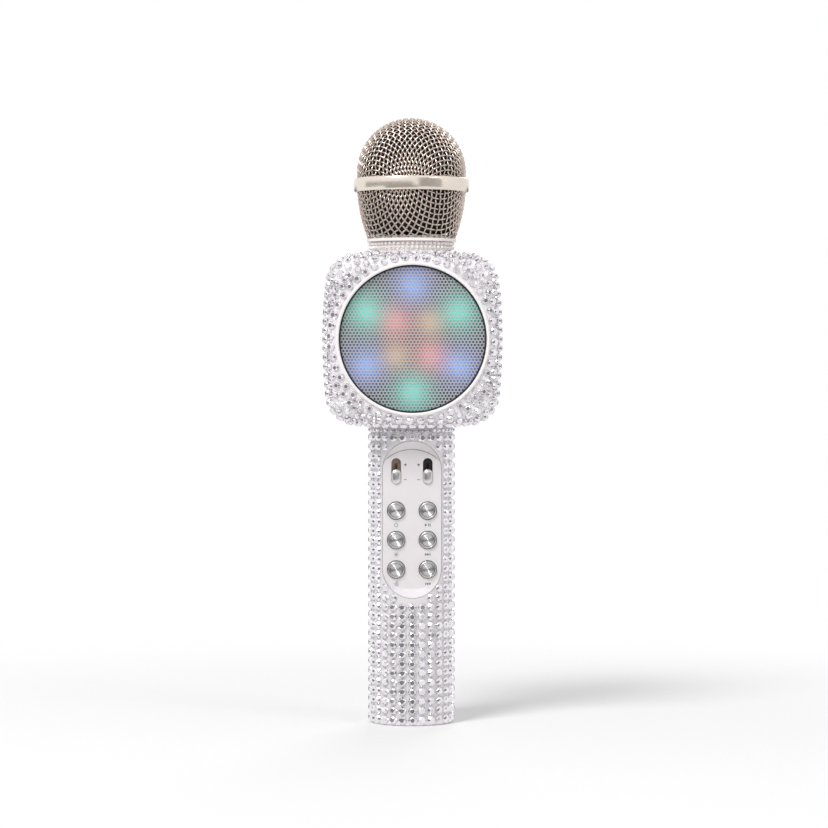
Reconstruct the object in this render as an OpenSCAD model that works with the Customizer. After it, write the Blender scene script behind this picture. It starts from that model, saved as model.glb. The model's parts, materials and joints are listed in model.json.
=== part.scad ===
// Hand-held toy karaoke microphone with a built-in speaker box.
// It stands on the flat end of its handle: +Z runs up to the wire head, and the front faces -Y.

/* [Handle] */
// Height of the speaker box above the flat end of the handle
handle_len = 125.5; // [122:0.5:150]
// Outer diameter of the handle tube, without its stones
tube_d = 34.4; // [34:0.2:38]
// Wall of the handle tube
tube_wall = 2; // [1.4:0.1:2.2]
// Thickness of the end cap's flange
cap_t = 1.6; // [1.2:0.1:3]

/* [Stones] */
// Height of a stone sheet over the glue under it
stone_h = 1.3; // [0.8:0.1:1.8]
// Glue line under a stone sheet
glue_gap = 0.1; // [0.05:0.05:0.2]

/* [Speaker box] */
// Width of the box, without its stones
box_w = 73.2; // [72:0.2:90]
// Height of the box, without its stones
box_h = 73.2; // [72:0.2:90]
// Depth of the box, without its stones
box_d = 55.2; // [52:0.2:70]
// Wall of the box
box_wall = 2.2; // [1.6:0.1:2.6]
// Corner radius seen from the front
box_corner_r = 12; // [10:0.5:14]
// Rounding of the front and rear edges
box_edge_r = 7; // [5:0.5:9]
// How far each side bows out between its corners
box_bow = 1.2; // [0.4:0.1:2]

/* [Speaker front] */
// Clear diameter inside the bezel ring
bezel_in_d = 62; // [58:0.5:62]
// Visible width of the bezel ring
bezel_w = 1.3; // [1:0.1:2.8]
// Visible width of the black gasket
gasket_w = 0.7; // [0.6:0.1:2]
// Thickness of the grille's sheet
grille_t = 0.8; // [0.5:0.1:1.2]
// Spacing of the holes in the grille
grille_pitch = 3.4; // [3:0.1:5]
// Diameter of the holes in the grille
grille_hole_d = 2; // [1:0.1:2.2]
// Distance from the lamp board to the diffuser's face
lamp_gap = 5.1; // [4:0.1:7]
// Radius of the outer ring of lamps
lamp_ring_r = 22.4; // [21.6:0.1:24]
// Radius of the inner ring of lamps
lamp_core_r = 10; // [9:0.1:10.6]

/* [Speaker] */
// Outer diameter of the speaker's frame
speaker_d = 56; // [52:0.5:58]
// Diameter of the speaker's magnet
magnet_d = 30; // [26:0.5:34]
// Length of the speaker's magnet
magnet_len = 10; // [8:0.5:14]

/* [Control panel] */
// Width of the control panel
panel_w = 25; // [24.6:0.1:26]
// Height of the bottom of the panel's floor above the base
panel_floor_z = 57.4; // [52:0.1:58]
// Length of the panel's floor
panel_floor_len = 59.6; // [59:0.1:64]
// Radius of the rounded ends of the panel's floor
panel_end_r = 17; // [15:0.5:20]
// Radius where the ends meet the sides
panel_corner_r = 4; // [2:0.5:6]
// Run of the slope from the floor to the handle's surface
panel_slope = 3.4; // [2:0.1:4]
// Thickness of the panel's floor
panel_t = 1.8; // [1.2:0.1:2]

/* [Buttons and sliders] */
// Diameter of a button
button_d = 7.6; // [6:0.1:8]
// Distance between the two columns of controls
column_pitch = 13.4; // [12.8:0.1:14]
// Distance between the rows of buttons
button_pitch = 12.5; // [11.4:0.1:12.7]
// Height of the lowest row above the bottom of the panel's floor
button_row_z = 8.4; // [8:0.1:9]
// How far a button stands out of the panel
button_proud = 1.2; // [0.8:0.1:2]
// Travel of a button
button_travel = 0.6; // [0.3:0.05:0.8]
// Width of a slider's slot
slot_w = 4.1; // [3:0.1:4.5]
// Length of a slider's slot
slot_len = 11.1; // [10:0.1:12]
// Length of a slider's knob
knob_len = 6.4; // [5:0.1:7]

/* [Circuit boards and battery] */
// Thickness of every circuit board
board_t = 1.2; // [0.8:0.1:1.6]
// Height of a switch above its board
switch_h = 3.1; // [2.6:0.1:3.6]
// Diameter of the battery cell
cell_d = 18; // [14:0.2:18.2]
// Length of the battery cell
cell_len = 65; // [50:0.5:68]

/* [Ports] */
// Bore of the audio jack
jack_bore_d = 3.6; // [3.5:0.05:3.8]
// Depth of the audio jack's bore
jack_bore_len = 13.4; // [12:0.1:15]
// Width of the charging socket
charge_w = 7.6; // [7:0.1:9]
// Height of the charging socket
charge_h = 2.9; // [2.6:0.1:3.4]
// Width of the card reader
card_w = 13; // [12:0.1:14]
// Thickness of the card reader
card_h = 1.8; // [1.6:0.1:2.2]

/* [Neck and head] */
// Diameter of the neck, without its stones
neck_d = 34; // [33:0.2:38]
// Height of the neck above the box
neck_len = 5; // [5:0.1:12]
// Diameter of the foot of the wire cup
cup_foot_d = 37.5; // [36:0.1:40]
// Height of the wire cup below the band
cup_h = 20; // [16:0.5:26]
// How far the cup's side bulges from a straight line
cup_bulge = 1; // [0.4:0.1:1.4]
// Diameter of the wire dome
dome_d = 46.6; // [44:0.2:50]
// Thickness of the woven wire
mesh_t = 1; // [0.8:0.1:1.4]
// Height of the band around the head
band_h = 5.9; // [4.4:0.1:8]
// How far the band stands out from the wire
band_proud = 1.3; // [0.8:0.1:2]
// Height of the dome's centre above the band
dome_lift = 2.6; // [0:0.1:4]
// Thickness of the foam inside the head
foam_t = 2.6; // [2:0.1:4]
// Diameter of the microphone capsule
capsule_d = 16; // [12:0.5:18]
// Length of the microphone capsule
capsule_len = 12; // [8:0.5:14]

/* [Fits] */
// Gap between pieces that slip together
fit_gap = 0.15; // [0.1:0.05:0.2]
// Gap between pieces that move past each other
run_gap = 0.1; // [0.08:0.01:0.15]
// Gap around screws
screw_gap = 0.05; // [0.03:0.01:0.1]

/* [Hidden] */
$fn = 64;
fine_fn = 256;
hull_fn = 32;
profile_steps = 12;
slot_steps = 12;
rim_steps = 24;
overcut = 1;

// Stone sheets: a backing over the glue, and stones whose tips reach the sheet's full height
sheet_t = stone_h + glue_gap;
backing_t = 0.5;
foot_t = glue_gap + backing_t;
stone_room = 1.5;
handle_rows = 31;
handle_columns = 26;
neck_rows = 2;
neck_columns = 56;
side_columns = 13;
corner_columns = 4;
box_rows = 9;

// Handle
tube_r = tube_d / 2;
tube_in_r = tube_r - tube_wall;
cap_chamfer = 0.3;
stone_stop = 1.7;
cap_spigot_len = 8;
cap_spigot_wall = 1.8;
cap_in_r = tube_in_r - fit_gap - cap_spigot_wall;

// Box, from its flat underside upwards
box_z0 = handle_len + sheet_t;
box_zc = box_z0 + box_h / 2;
box_z1 = box_z0 + box_h;
box_floor = box_z0 + box_wall;
box_ceiling = box_z1 - box_wall;
front_y = -box_d / 2;
path_x = box_w / 2 - box_bow - box_corner_r;
path_z = box_h / 2 - box_bow - box_corner_r;
side_len = box_d / 2 - box_edge_r;
face_inset = box_corner_r - box_edge_r;
row_step = (side_len + box_edge_r * PI / 2 + face_inset) / box_rows;
quarter_columns = side_columns + corner_columns;
outline_columns = 4 * quarter_columns;

// Clamped flanges of the handle and the neck
flange_w = 2.4;
flange_t = 1.4;
flange_lift = 0.3;
clamp_wall = 2;
clamp_gap = 0.5;
clamp_h = flange_lift + flange_t + clamp_wall;
tube_top = box_floor + flange_lift + flange_t;
neck_r = neck_d / 2;
neck_bottom = box_ceiling - flange_lift - flange_t;

// Box screws
boss_r = 4;
boss_inset = 2.4;
boss_x = path_x + box_corner_r / sqrt(2) - boss_inset - boss_r / sqrt(2);
boss_z = path_z + box_corner_r / sqrt(2) - boss_inset - boss_r / sqrt(2);
screw_r = 1.25;
screw_head_r = 2.5;
screw_head_h = 1.8;
screw_bite = 10;
screw_head_y = 20;
cross_w = 0.7;
cross_len = 3;
cross_depth = 0.9;

// Speaker stack, each piece behind the one before it
bezel_in_r = bezel_in_d / 2;
bezel_out_r = bezel_in_r + bezel_w;
bezel_spigot_w = 0.75;
bezel_spigot_len = 0.6;
seat_r = bezel_in_r + bezel_spigot_w;
well_r = seat_r + fit_gap;
pad_margin = 0.2;
pad_r = bezel_out_r + pad_margin;
gasket_t = 0.6;
rim_w = 1;
grille_rim = 1;
diffuser_t = 0.8;
ledge_t = 4;
ledge_in_r = 24.5;
gasket_y = front_y + bezel_spigot_len;
grille_y = gasket_y + gasket_t;
diffuser_y = grille_y + grille_t + grille_rim;
lamp_board_y = diffuser_y + lamp_gap;
ledge_y = lamp_board_y + board_t;
frame_y = ledge_y + ledge_t;

// Lamp board: 6 lamps in an outer ring, 4 in an inner one, and sound holes between them
lamp_size = 2.4;
lamp_h = 1.6;
sound_hole_r = 3.8;
sound_ring_r = (lamp_ring_r + lamp_core_r) / 2;
sound_core_r = 6;
lamp_ring = [for (i = [0:5]) lamp_ring_r * [sin(i * 60), cos(i * 60)]];
lamp_core = [for (i = [0:3]) lamp_core_r * [sin(45 + i * 90), cos(45 + i * 90)]];
sound_ring = [for (i = [0:5]) sound_ring_r * [sin(30 + i * 60), cos(30 + i * 60)]];

// Speaker
speaker_r = speaker_d / 2;
magnet_r = magnet_d / 2;
frame_t = 1.2;
frame_lip = 6;
basket_len = 10.5;
magnet_y = frame_y + frame_t + basket_len;
coil_r = 6;
coil_t = 0.6;
coil_gap = 0.4;
coil_depth = 5;
cone_t = 0.6;
cone_front = 0.4;
cone_depth = 6.5;
speaker_screw_r = 1;
speaker_screw_len = 3;
speaker_screw_head_r = 1.6;
speaker_screw_head_h = 1.2;
speaker_screw_inset = 1.9;
speaker_screw_at = speaker_r - speaker_screw_inset;

// Control panel: its floor meets the tube's surface along both sides
floor_y = -sqrt(tube_r * tube_r - panel_w * panel_w / 4);
panel_back = floor_y + panel_t;
end_top_z = panel_floor_z + panel_floor_len - panel_end_r;
end_bottom_z = panel_floor_z + panel_end_r;
panel_len = panel_floor_len + 2 * panel_slope;
panel_zc = panel_floor_z + panel_floor_len / 2;
scoop_side = 1;
scoop_lift = 0.5;

// Controls
column_x = column_pitch / 2;
row_z = [for (i = [0:2]) panel_floor_z + button_row_z + i * button_pitch];
button_r = button_d / 2;
button_flange_w = 0.7;
button_flange_t = 0.7;
button_chamfer = 0.45;
button_rim = 0.9;
button_dish = 0.2;
plunger_r = 1.2;
flange_y = panel_back + screw_gap;
switch_y = flange_y + button_flange_t + button_travel + run_gap;
board_y = switch_y + switch_h;
plunger_reach = 0.9;
switch_size = 6;

slot_top_gap = 3.9;
slot_zc = panel_floor_z + panel_floor_len - slot_top_gap - slot_len / 2;
knob_w = slot_w - 2 * run_gap;
knob_travel = slot_len - knob_len - 2 * run_gap;
knob_z = slot_zc - knob_travel / 2;
knob_proud = 1.4;
knob_dome = 0.7;
knob_skirt_w = 0.6;
knob_skirt_t = 0.6;
lever_w = 1;
lever_len = 1.8;
lever_reach = 2;
pot_w = 5.6;
pot_margin = 0.6;
pot_len = slot_len + pot_margin;
pot_y = flange_y + knob_skirt_t + run_gap;

// Main board and its three screws on the centre line
main_board_w = 23.6;
main_board_drop = 0.4;
main_board_z0 = panel_floor_z - main_board_drop;
main_board_z1 = panel_floor_z + panel_floor_len - main_board_drop;
post_r = 1.9;
post_screw_r = 0.8;
post_screw_head_r = 1.5;
post_screw_head_h = 0.8;
post_screw_bite = 3;
post_screw_len = board_t + post_screw_bite;
post_inset = 1.8;
post_z = [
    panel_floor_z + post_inset,
    (row_z[1] + row_z[2]) / 2,
    slot_zc
];

// Battery behind the main board, carried by a cradle that fills the tube
cell_r = cell_d / 2;
contact_t = 0.5;
cradle_r = tube_in_r - run_gap;
cradle_wall = 0.2;
cell_y = cradle_r - cradle_wall - cell_r;
cell_z0 = 39;
cell_z1 = cell_z0 + cell_len;
saddle_floor = 4;
saddle_grip = 3;
saddle_front = -2.4;
cradle_z0 = cell_z0 - contact_t - saddle_floor;
cradle_z1 = cell_z1 + contact_t + saddle_floor;
rail_gap = 0.6;
rail_w = 1.8;
rail_h = 5;

// Port board behind the end cap
port_board_w = 23;
port_board_y = 1;
port_board_lift = 1.4;
port_board_gap = 1;
port_board_z0 = cap_t + port_board_lift;
port_board_z1 = cradle_z0 - port_board_gap;
port_mouth = 0.5;
jack_x = -7;
jack_nose_r = 3;
jack_nose_len = 3;
jack_body = 6.2;
jack_y = port_board_y - jack_body / 2;
jack_wall = 1;
charge_x = 3.2;
charge_len = 5.6;
socket_wall = 0.35;
tongue_h = 0.7;
tongue_inset = 1.2;
card_len = 15;
card_wall = 0.4;
light_x = 9;
light_y = -1.2;
light_r = 1;
light_len = 8;
guide_w = 2.8;
guide_d = 5.2;
guide_bite = 0.9;

// Head
head_z = box_z1 + neck_len;
thread_r = 14.5;
thread_len = 7.2;
base_bore_r = 12.5;
lip_t = 1.2;
lip_proud = 0.25;
upstand_t = 1.1;
upstand_h = 1;
cup_foot_r = cup_foot_d / 2;
cup_z0 = head_z + lip_t;
band_z0 = cup_z0 + cup_h;
band_z1 = band_z0 + band_h;
rib_t = 1.1;
rib_z0 = (band_z0 + band_z1 - rib_t) / 2;
rib_z1 = rib_z0 + rib_t;
dome_r = dome_d / 2;
dome_z = band_z1 + dome_lift;
band_r = dome_r + band_proud;
band_chamfer = 0.8;
cradle_flange_t = 1.5;
foam_gap = 0.4;
foam_lift = 0.9;
foam_z0 = cup_z0 + cradle_flange_t + foam_lift;
cradle_plug_len = 4.5;
cradle_pocket_wall = 2;
cradle_pocket_h = 7;
cradle_flange_r = cup_foot_r - mesh_t - fit_gap - upstand_t - fit_gap;
capsule_r = capsule_d / 2;
capsule_lift = 3;
capsule_z = cup_z0 + cradle_flange_t + capsule_lift;
lead_hole_r = 2;

// Wiring: points of each lead in [y, z], at one x, chosen to pass behind the magnet and the battery
lead_r = 0.8;
lead_sides = 8;
mic_lead_x = 0;
mic_lead_path = [
    [0, capsule_z - 0.2],
    [0, head_z - 4],
    [5, box_ceiling - 8],
    [magnet_y + magnet_len + 4, box_zc + 20],
    [magnet_y + magnet_len + 4, box_zc - 20],
    [6, box_floor],
    [0, cradle_z1 + 11],
    [board_y + board_t + 1.2, main_board_z1 - 2]
];
speaker_lead_x = 6;
speaker_lead_path = [
    [magnet_y + magnet_len + 1, box_zc],
    [magnet_y + magnet_len + 2.5, box_zc - 12],
    [6, box_floor + 4],
    [-1, cradle_z1 + 9],
    [board_y + board_t + 1.2, main_board_z1 - 2]
];
battery_lead_x = -6;
battery_lead_path = [
    [cell_y, cradle_z1 + 0.2],
    [cell_y - 1, cradle_z1 + 4],
    [2, cradle_z1 + 5],
    [board_y + board_t + 1.2, main_board_z1 - 2]
];

// Shapes that repeat

// Extrudes an outline drawn in [x, z] between two depths
module plate_y(y0, y1) {
    translate([0, y1, 0])
        rotate([90, 0, 0])
            linear_extrude(y1 - y0)
                children();
}

// Turns a profile drawn in [radius, -y] about the speaker's axis
module turn_y() {
    translate([0, 0, box_zc])
        rotate([90, 0, 0])
            rotate_extrude()
                children();
}

// A ring drawn flat, as an outline for plate_y or linear_extrude
module ring(outer, inner) {
    difference() {
        circle(outer);
        circle(inner);
    }
}

// A tube or disc standing on z0
module pillar(z0, z1, outer, inner = 0) {
    translate([0, 0, z0])
        linear_extrude(z1 - z0)
            if (inner > 0) ring(outer, inner);
            else circle(outer);
}

// A block from one corner to the other
module block(low, high) {
    translate(low)
        cube(high - low);
}

function arc(centre, radius, from, to, steps) =
    [for (i = [0:steps]) let (a = from + (to - from) * i / steps) centre + radius * [cos(a), sin(a)]];

// Half of the floor's outline, mirrored into the other half: an end arc and a corner arc at each end
function end_arcs(side, end_r, corner_r, end_z) =
    let (
        reach = sqrt(pow(end_r - corner_r, 2) - pow(side - corner_r, 2)),
        tilt = atan2(reach, side - corner_r)
    )
    concat(
        arc([side - corner_r, end_z + reach], corner_r, 0, tilt, 4),
        arc([0, end_z], end_r, tilt, 180 - tilt, 8),
        arc([corner_r - side, end_z + reach], corner_r, 180 - tilt, 180, 4)
    );

function panel_points(side, end_r, corner_r) = concat(
    end_arcs(side, end_r, corner_r, end_top_z),
    [for (p = end_arcs(side, end_r, corner_r, -end_bottom_z)) [-p[0], -p[1]]]
);

// The panel's outer outline, a long slot, grown by a gap
module panel_outline(gap) {
    polygon(slot_points(panel_w + 2 * gap, panel_len + 2 * gap, panel_zc, rim_steps));
}

// A slot with round ends, its long side along z
function slot_points(width, length, zc, steps = slot_steps) = concat(
    arc([0, zc + (length - width) / 2], width / 2, 0, 180, steps),
    arc([0, zc - (length - width) / 2], width / 2, 180, 360, steps)
);

// Front half of the speaker box, grown by grow, its flat back at y = back
module half_box(grow, back) {
    corner = box_corner_r + grow;
    edge = box_edge_r + grow;
    depth = box_d / 2 + grow;
    hull()
        for (p = box_path())
            translate([p[0], 0, box_zc + p[1]])
                rotate([90, 0, 0])
                    rotate_extrude($fn = hull_fn)
                        corner_profile(corner, edge, depth, back);
}

// Half section of one rounded corner, with its axis on x = 0
module corner_profile(corner, edge, depth, back) {
    intersection() {
        translate([0, -back])
            square([corner, depth + back]);
        union() {
            translate([0, -back])
                square([corner, depth - edge + back]);
            translate([0, -back])
                square([corner - edge, depth + back]);
            translate([corner - edge, depth - edge])
                circle(edge, $fn = hull_fn);
        }
    }
}

// Centres of the box's corner radius along its bowed outline
function box_path() = concat(
    [for (side = [-1, 1], t = [-1:0.5:1]) [side * (path_x + box_bow * (1 - t * t)), t * path_z]],
    [for (side = [-1, 1], t = [-0.5:0.5:0.5]) [t * path_x, side * (path_z + box_bow * (1 - t * t))]]
);

// Flat facets from a stone's tip down to the corners that surround it
function facets(tip, corners) =
    [for (i = [0:len(corners) - 1]) [corners[(i + 1) % len(corners)], corners[i], tip]];

// True where a stone at a point of the handle stands clear of the control panel
function clear_of_panel(p) =
    let (
        past_end = max(0, abs(p[2] - panel_zc) - (panel_len - panel_w) / 2),
        room = 2 * fit_gap + stone_room * abs(p[1]) / norm([p[0], p[1]])
    )
    p[1] > 0 || norm([p[0], past_end]) > panel_w / 2 + room;

// Straight rows and columns of stones round an upright core; the core is bored out by the caller
module stone_core(z0, z1, radius, rows, columns) {
    rise = (z1 - z0) / rows;
    turn = 360 / columns;
    tips = [
        for (i = [0:rows - 1], k = [0:columns - 1])
            let (way = [sin(k * turn), -cos(k * turn), 0], z = [0, 0, z0 + (i + 0.5) * rise])
            z + way * (radius + (clear_of_panel(z + way * radius) ? sheet_t : foot_t))
    ];
    corners = [
        for (i = [0:rows], k = [0:columns - 1])
            let (a = (k - 0.5) * turn)
            [(radius + foot_t) * sin(a), -(radius + foot_t) * cos(a), z0 + i * rise]
    ];
    first = len(tips);
    walls = [
        for (i = [0:rows - 1], k = [0:columns - 1])
            let (low = first + i * columns, high = low + columns, n = (k + 1) % columns)
            each facets(i * columns + k, [low + k, low + n, high + n, high + k])
    ];
    bottom = [for (k = [0:columns - 1]) first + k];
    top = [for (k = [columns - 1:-1:0]) first + rows * columns + k];
    polyhedron(concat(tips, corners), concat(walls, [bottom, top]));
}

// Place on the box's outline after u stones, from the foot of its right side: the centre of the corner
// radius, and the angle that the skin faces
function outline_at(u) =
    let (
        i = floor(u / quarter_columns),
        v = u - i * quarter_columns,
        out = i % 2 == 0 ? path_x : path_z,
        along = i % 2 == 0 ? path_z : path_x,
        t = min(1, 2 * v / side_columns - 1),
        part = max(0, (v - side_columns) / corner_columns),
        first = atan2(2 * box_bow * t, along),
        last = 90 - atan2(2 * box_bow, out),
        turn = [[cos(90 * i), sin(90 * i)], [-sin(90 * i), cos(90 * i)]]
    )
    [[out + box_bow * (1 - t * t), t * along] * turn, first + (last - first) * part + 90 * i];

// Point of the front half's skin at a place on the outline, a length s from the parting plane, a height h up
function skin_point(place, s, h) =
    let (
        bend = min(90, max(0, (s - side_len) / box_edge_r * 180 / PI)),
        inset = max(0, s - side_len - box_edge_r * PI / 2),
        out = face_inset - inset + (box_edge_r + h) * cos(bend)
    )
    [
        place[0][0] + out * cos(place[1]),
        -min(s, side_len) - (box_edge_r + h) * sin(bend),
        box_zc + place[0][1] + out * sin(place[1])
    ];

// Point of the flat face inside the last row, from -1 to 1 each way, a height h up
function face_point(tx, tz, h) = [
    tx * (path_x + box_bow * (1 - tz * tz)),
    -box_d / 2 - h,
    box_zc + tz * (path_z + box_bow * (1 - tx * tx))
];

// How many columns one stone covers in the corners of a row: more as the corner grows tighter
function corner_span(row) =
    let (room = box_rows - row)
    room > 2 ? 1 : room > 1 ? corner_columns / 2 : corner_columns;

// Tip of a stone: at full height, or flat where the handle, the neck, a screw or the bezel is in the way
function tip_h(p, front) =
    let (
        passage_r = (p[2] < box_zc ? tube_r : neck_r) + sheet_t + fit_gap,
        joined = abs(p[2] - box_zc) > path_z && norm([p[0], p[1]]) < passage_r + stone_room,
        on_face = p[1] < -side_len,
        bezel = front && norm([p[0], p[2] - box_zc]) < pad_r + fit_gap + stone_room,
        screw = !front && norm([abs(p[0]) - boss_x, abs(p[2] - box_zc) - boss_z]) < boss_r + stone_room
    )
    joined || (on_face && (bezel || screw)) ? foot_t : sheet_t;

// Front half of the box as a solid covered with stones, its flat back at y = 0
module stone_half(front) {
    n = side_columns;
    rings = [
        for (row = [0:box_rows - 1], k = [0:outline_columns - 1])
            skin_point(outline_at(k), row * row_step, foot_t)
    ];
    face = [for (i = [0:n], j = [0:n]) face_point(2 * i / n - 1, 2 * j / n - 1, foot_t)];
    // Each cell of the rows: its row, its first column and the columns that it covers
    cells = [
        for (row = [0:box_rows - 1], q = [0:3])
            let (first = q * quarter_columns, span = corner_span(row))
            each concat(
                [for (k = [0:n - 1]) [row, first + k, 1]],
                [for (k = [0:span:corner_columns - 1]) [row, first + n + k, span]]
            )
    ];
    cell_tips = [
        for (c = cells)
            let (place = outline_at(c[1] + c[2] / 2), s = (c[0] + 0.5) * row_step)
            skin_point(place, s, tip_h(skin_point(place, s, 0), front))
    ];
    face_tips = [
        for (i = [0:n - 1], j = [0:n - 1])
            let (tx = (2 * i + 1) / n - 1, tz = (2 * j + 1) / n - 1)
            face_point(tx, tz, tip_h(face_point(tx, tz, 0), front))
    ];
    face_at = len(rings);
    cell_at = face_at + len(face);
    tile_at = cell_at + len(cells);
    walls = [
        for (i = [0:len(cells) - 1])
            let (c = cells[i], low = row_corners(c, 0, face_at), high = row_corners(c, 1, face_at))
            each facets(cell_at + i, concat(low, [for (j = [len(high) - 1:-1:0]) high[j]]))
    ];
    tiles = [
        for (i = [0:n - 1], j = [0:n - 1])
            let (a = face_at + i * (n + 1) + j, b = a + n + 1)
            each facets(tile_at + i * n + j, [a, b, b + 1, a + 1])
    ];
    back = [for (k = [0:outline_columns - 1]) k];
    polyhedron(concat(rings, face, cell_tips, face_tips), concat(walls, tiles, [back]));
}

// Corners of a cell along its lower edge (up = 0) or its upper edge (up = 1), in the outline's direction;
// the upper edge of the last row runs round the flat face, with one corner where the outline turns
function row_corners(cell, up, face_at) =
    let (
        line = cell[0] + up,
        q = floor(cell[1] / quarter_columns),
        v = cell[1] - q * quarter_columns,
        turning = v >= side_columns,
        step = turning ? min(corner_span(line - 1), corner_span(line)) : 1,
        n = side_columns
    )
    line < box_rows
    ? [for (k = [cell[1]:step:cell[1] + cell[2]]) line * outline_columns + k % outline_columns]
    : [
        for (w = turning ? [n] : [v, v + 1])
            let (ends = [[n, w], [n - w, n], [0, n - w], [w, 0]])
            face_at + ends[q][0] * (n + 1) + ends[q][1]
    ];

// Stone sheet over the front half of the box, or over the rear half before it is mirrored
module half_sheet(front) {
    difference() {
        stone_half(front);
        half_box(glue_gap, overcut);
        pillar(0, box_zc, tube_r + sheet_t + fit_gap);
        pillar(box_zc, box_z1 + box_h, neck_r + sheet_t + fit_gap);
    }
}

// Both rings inside the box that grip the flanges of the handle and the neck, without their grooves,
// between two depths
module clamp_rings(y0, y1) {
    rim = flange_w + fit_gap + clamp_wall;
    intersection() {
        union() {
            pillar(box_floor - box_wall / 2, box_floor + clamp_h, tube_r + rim);
            pillar(box_ceiling - clamp_h, box_ceiling + box_wall / 2, neck_r + rim);
        }
        block([-box_w, y0, 0], [box_w, y1, box_z1 + box_h]);
    }
}

// Holes for the handle and the neck, and the grooves for their flanges
module box_passages() {
    lip = flange_w + fit_gap;
    pillar(0, box_floor + clamp_h + overcut, tube_r + fit_gap);
    pillar(tube_top - flange_t - run_gap, tube_top + run_gap, tube_r + lip);
    pillar(box_ceiling - clamp_h - overcut, box_z1 + box_h, neck_r + fit_gap);
    pillar(neck_bottom - run_gap, neck_bottom + flange_t + run_gap, neck_r + lip);
}

// Places its child at the four box screws, in the outline of plate_y
module at_bosses() {
    for (sx = [-1, 1], sz = [-1, 1])
        translate([sx * boss_x, box_zc + sz * boss_z])
            children();
}

// Places its child at the four speaker screws, in the outline of plate_y
module at_speaker_screws() {
    for (i = [0:3])
        translate([0, box_zc])
            rotate(45 + i * 90)
                translate([speaker_screw_at, 0])
                    children();
}

// Places its child at the lamps or the sound holes of one ring, in the outline of plate_y
module at_points(points) {
    for (p = points)
        translate([p[0], box_zc + p[1]])
            children();
}

// Outer radius of the wire cup at a height
function cup_r(z) =
    let (t = (z - cup_z0) / (rib_z0 - cup_z0))
    cup_foot_r + (dome_r - cup_foot_r) * t + 4 * cup_bulge * t * (1 - t);

// Outer radius of the whole wire head at a height
function head_r(z) =
    z < rib_z0 ? cup_r(z) : sqrt(max(0, dome_r * dome_r - pow(z - dome_z, 2)));

// A lead swept along points in [y, z] at one x
module lead(x, path) {
    last = len(path) - 1;
    tangents = [for (i = [0:last]) let (d = path[min(i + 1, last)] - path[max(i - 1, 0)]) d / norm(d)];
    points = [
        for (i = [0:last], k = [0:lead_sides - 1])
            let (a = k * 360 / lead_sides, c = lead_r * cos(a), s = lead_r * sin(a), t = tangents[i])
            [x + c, path[i][0] - s * t[1], path[i][1] + s * t[0]]
    ];
    walls = [
        for (i = [0:last - 1], k = [0:lead_sides - 1])
            let (n = (k + 1) % lead_sides, a = i * lead_sides, b = a + lead_sides)
            each [[a + k, b + k, b + n], [a + k, b + n, a + n]]
    ];
    start = [for (k = [0:lead_sides - 1]) k];
    end = [for (k = [lead_sides - 1:-1:0]) last * lead_sides + k];
    polyhedron(points, concat(walls, [start, end]));
}

// End of the handle

module end_cap() {
    color("whitesmoke")
        difference() {
            union() {
                rotate_extrude()
                    polygon([
                        [0, 0],
                        [tube_r - cap_chamfer, 0],
                        [tube_r, cap_chamfer],
                        [tube_r, cap_t],
                        [0, cap_t]
                    ]);
                pillar(cap_t - overcut, cap_t + cap_spigot_len, tube_in_r - fit_gap, cap_in_r);
                for (side = [0, 1])
                    mirror([side, 0, 0])
                        board_guide();
            }
            translate([jack_x, jack_y, 0])
                pillar(-overcut, cap_t + overcut, jack_nose_r + fit_gap);
            block(
                [charge_x - charge_w / 2 - fit_gap, port_board_y - charge_h - fit_gap, -overcut],
                [charge_x + charge_w / 2 + fit_gap, port_board_y + fit_gap, cap_t + overcut]
            );
            block(
                [-card_w / 2 - fit_gap, port_board_y + board_t - fit_gap, -overcut],
                [card_w / 2 + fit_gap, port_board_y + board_t + card_h + fit_gap, cap_t + overcut]
            );
            translate([light_x, light_y, 0])
                pillar(-overcut, cap_t + overcut, light_r + screw_gap);
        }
}

// Grooved guide inside the end cap that holds one edge of the port board
module board_guide() {
    groove_x = port_board_w / 2 + fit_gap;
    difference() {
        intersection() {
            pillar(cap_t - overcut / 2, cap_t + cap_spigot_len, tube_in_r - fit_gap - overcut / 2);
            block(
                [groove_x - guide_bite, port_board_y - (guide_d - board_t) / 2, 0],
                [groove_x + guide_w, port_board_y + (guide_d + board_t) / 2, cap_t + cap_spigot_len]
            );
        }
        block(
            [0, port_board_y - run_gap, port_board_z0 - run_gap],
            [groove_x, port_board_y + board_t + run_gap, port_board_z1]
        );
    }
}

module port_board() {
    color("darkgreen")
        block(
            [-port_board_w / 2, port_board_y, port_board_z0],
            [port_board_w / 2, port_board_y + board_t, port_board_z1]
        );
}

module audio_jack() {
    nose_top = port_mouth + jack_nose_len;
    color("dimgray")
        translate([jack_x, jack_y, 0])
            difference() {
                union() {
                    pillar(port_mouth, nose_top + overcut, jack_nose_r);
                    block(
                        [-jack_body / 2, -jack_body / 2, nose_top],
                        [jack_body / 2, jack_body / 2, port_mouth + jack_bore_len + jack_wall]
                    );
                }
                pillar(0, port_mouth + jack_bore_len, jack_bore_d / 2);
            }
}

module charge_socket() {
    color("silver")
        translate([charge_x, port_board_y - charge_h / 2, port_mouth]) {
            difference() {
                block([-charge_w / 2, -charge_h / 2, 0], [charge_w / 2, charge_h / 2, charge_len]);
                block(
                    [socket_wall - charge_w / 2, socket_wall - charge_h / 2, -overcut],
                    [charge_w / 2 - socket_wall, charge_h / 2 - socket_wall, charge_len - socket_wall]
                );
            }
            block(
                [tongue_inset - charge_w / 2, -tongue_h / 2, tongue_h],
                [charge_w / 2 - tongue_inset, tongue_h / 2, charge_len - socket_wall / 2]
            );
        }
}

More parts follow.
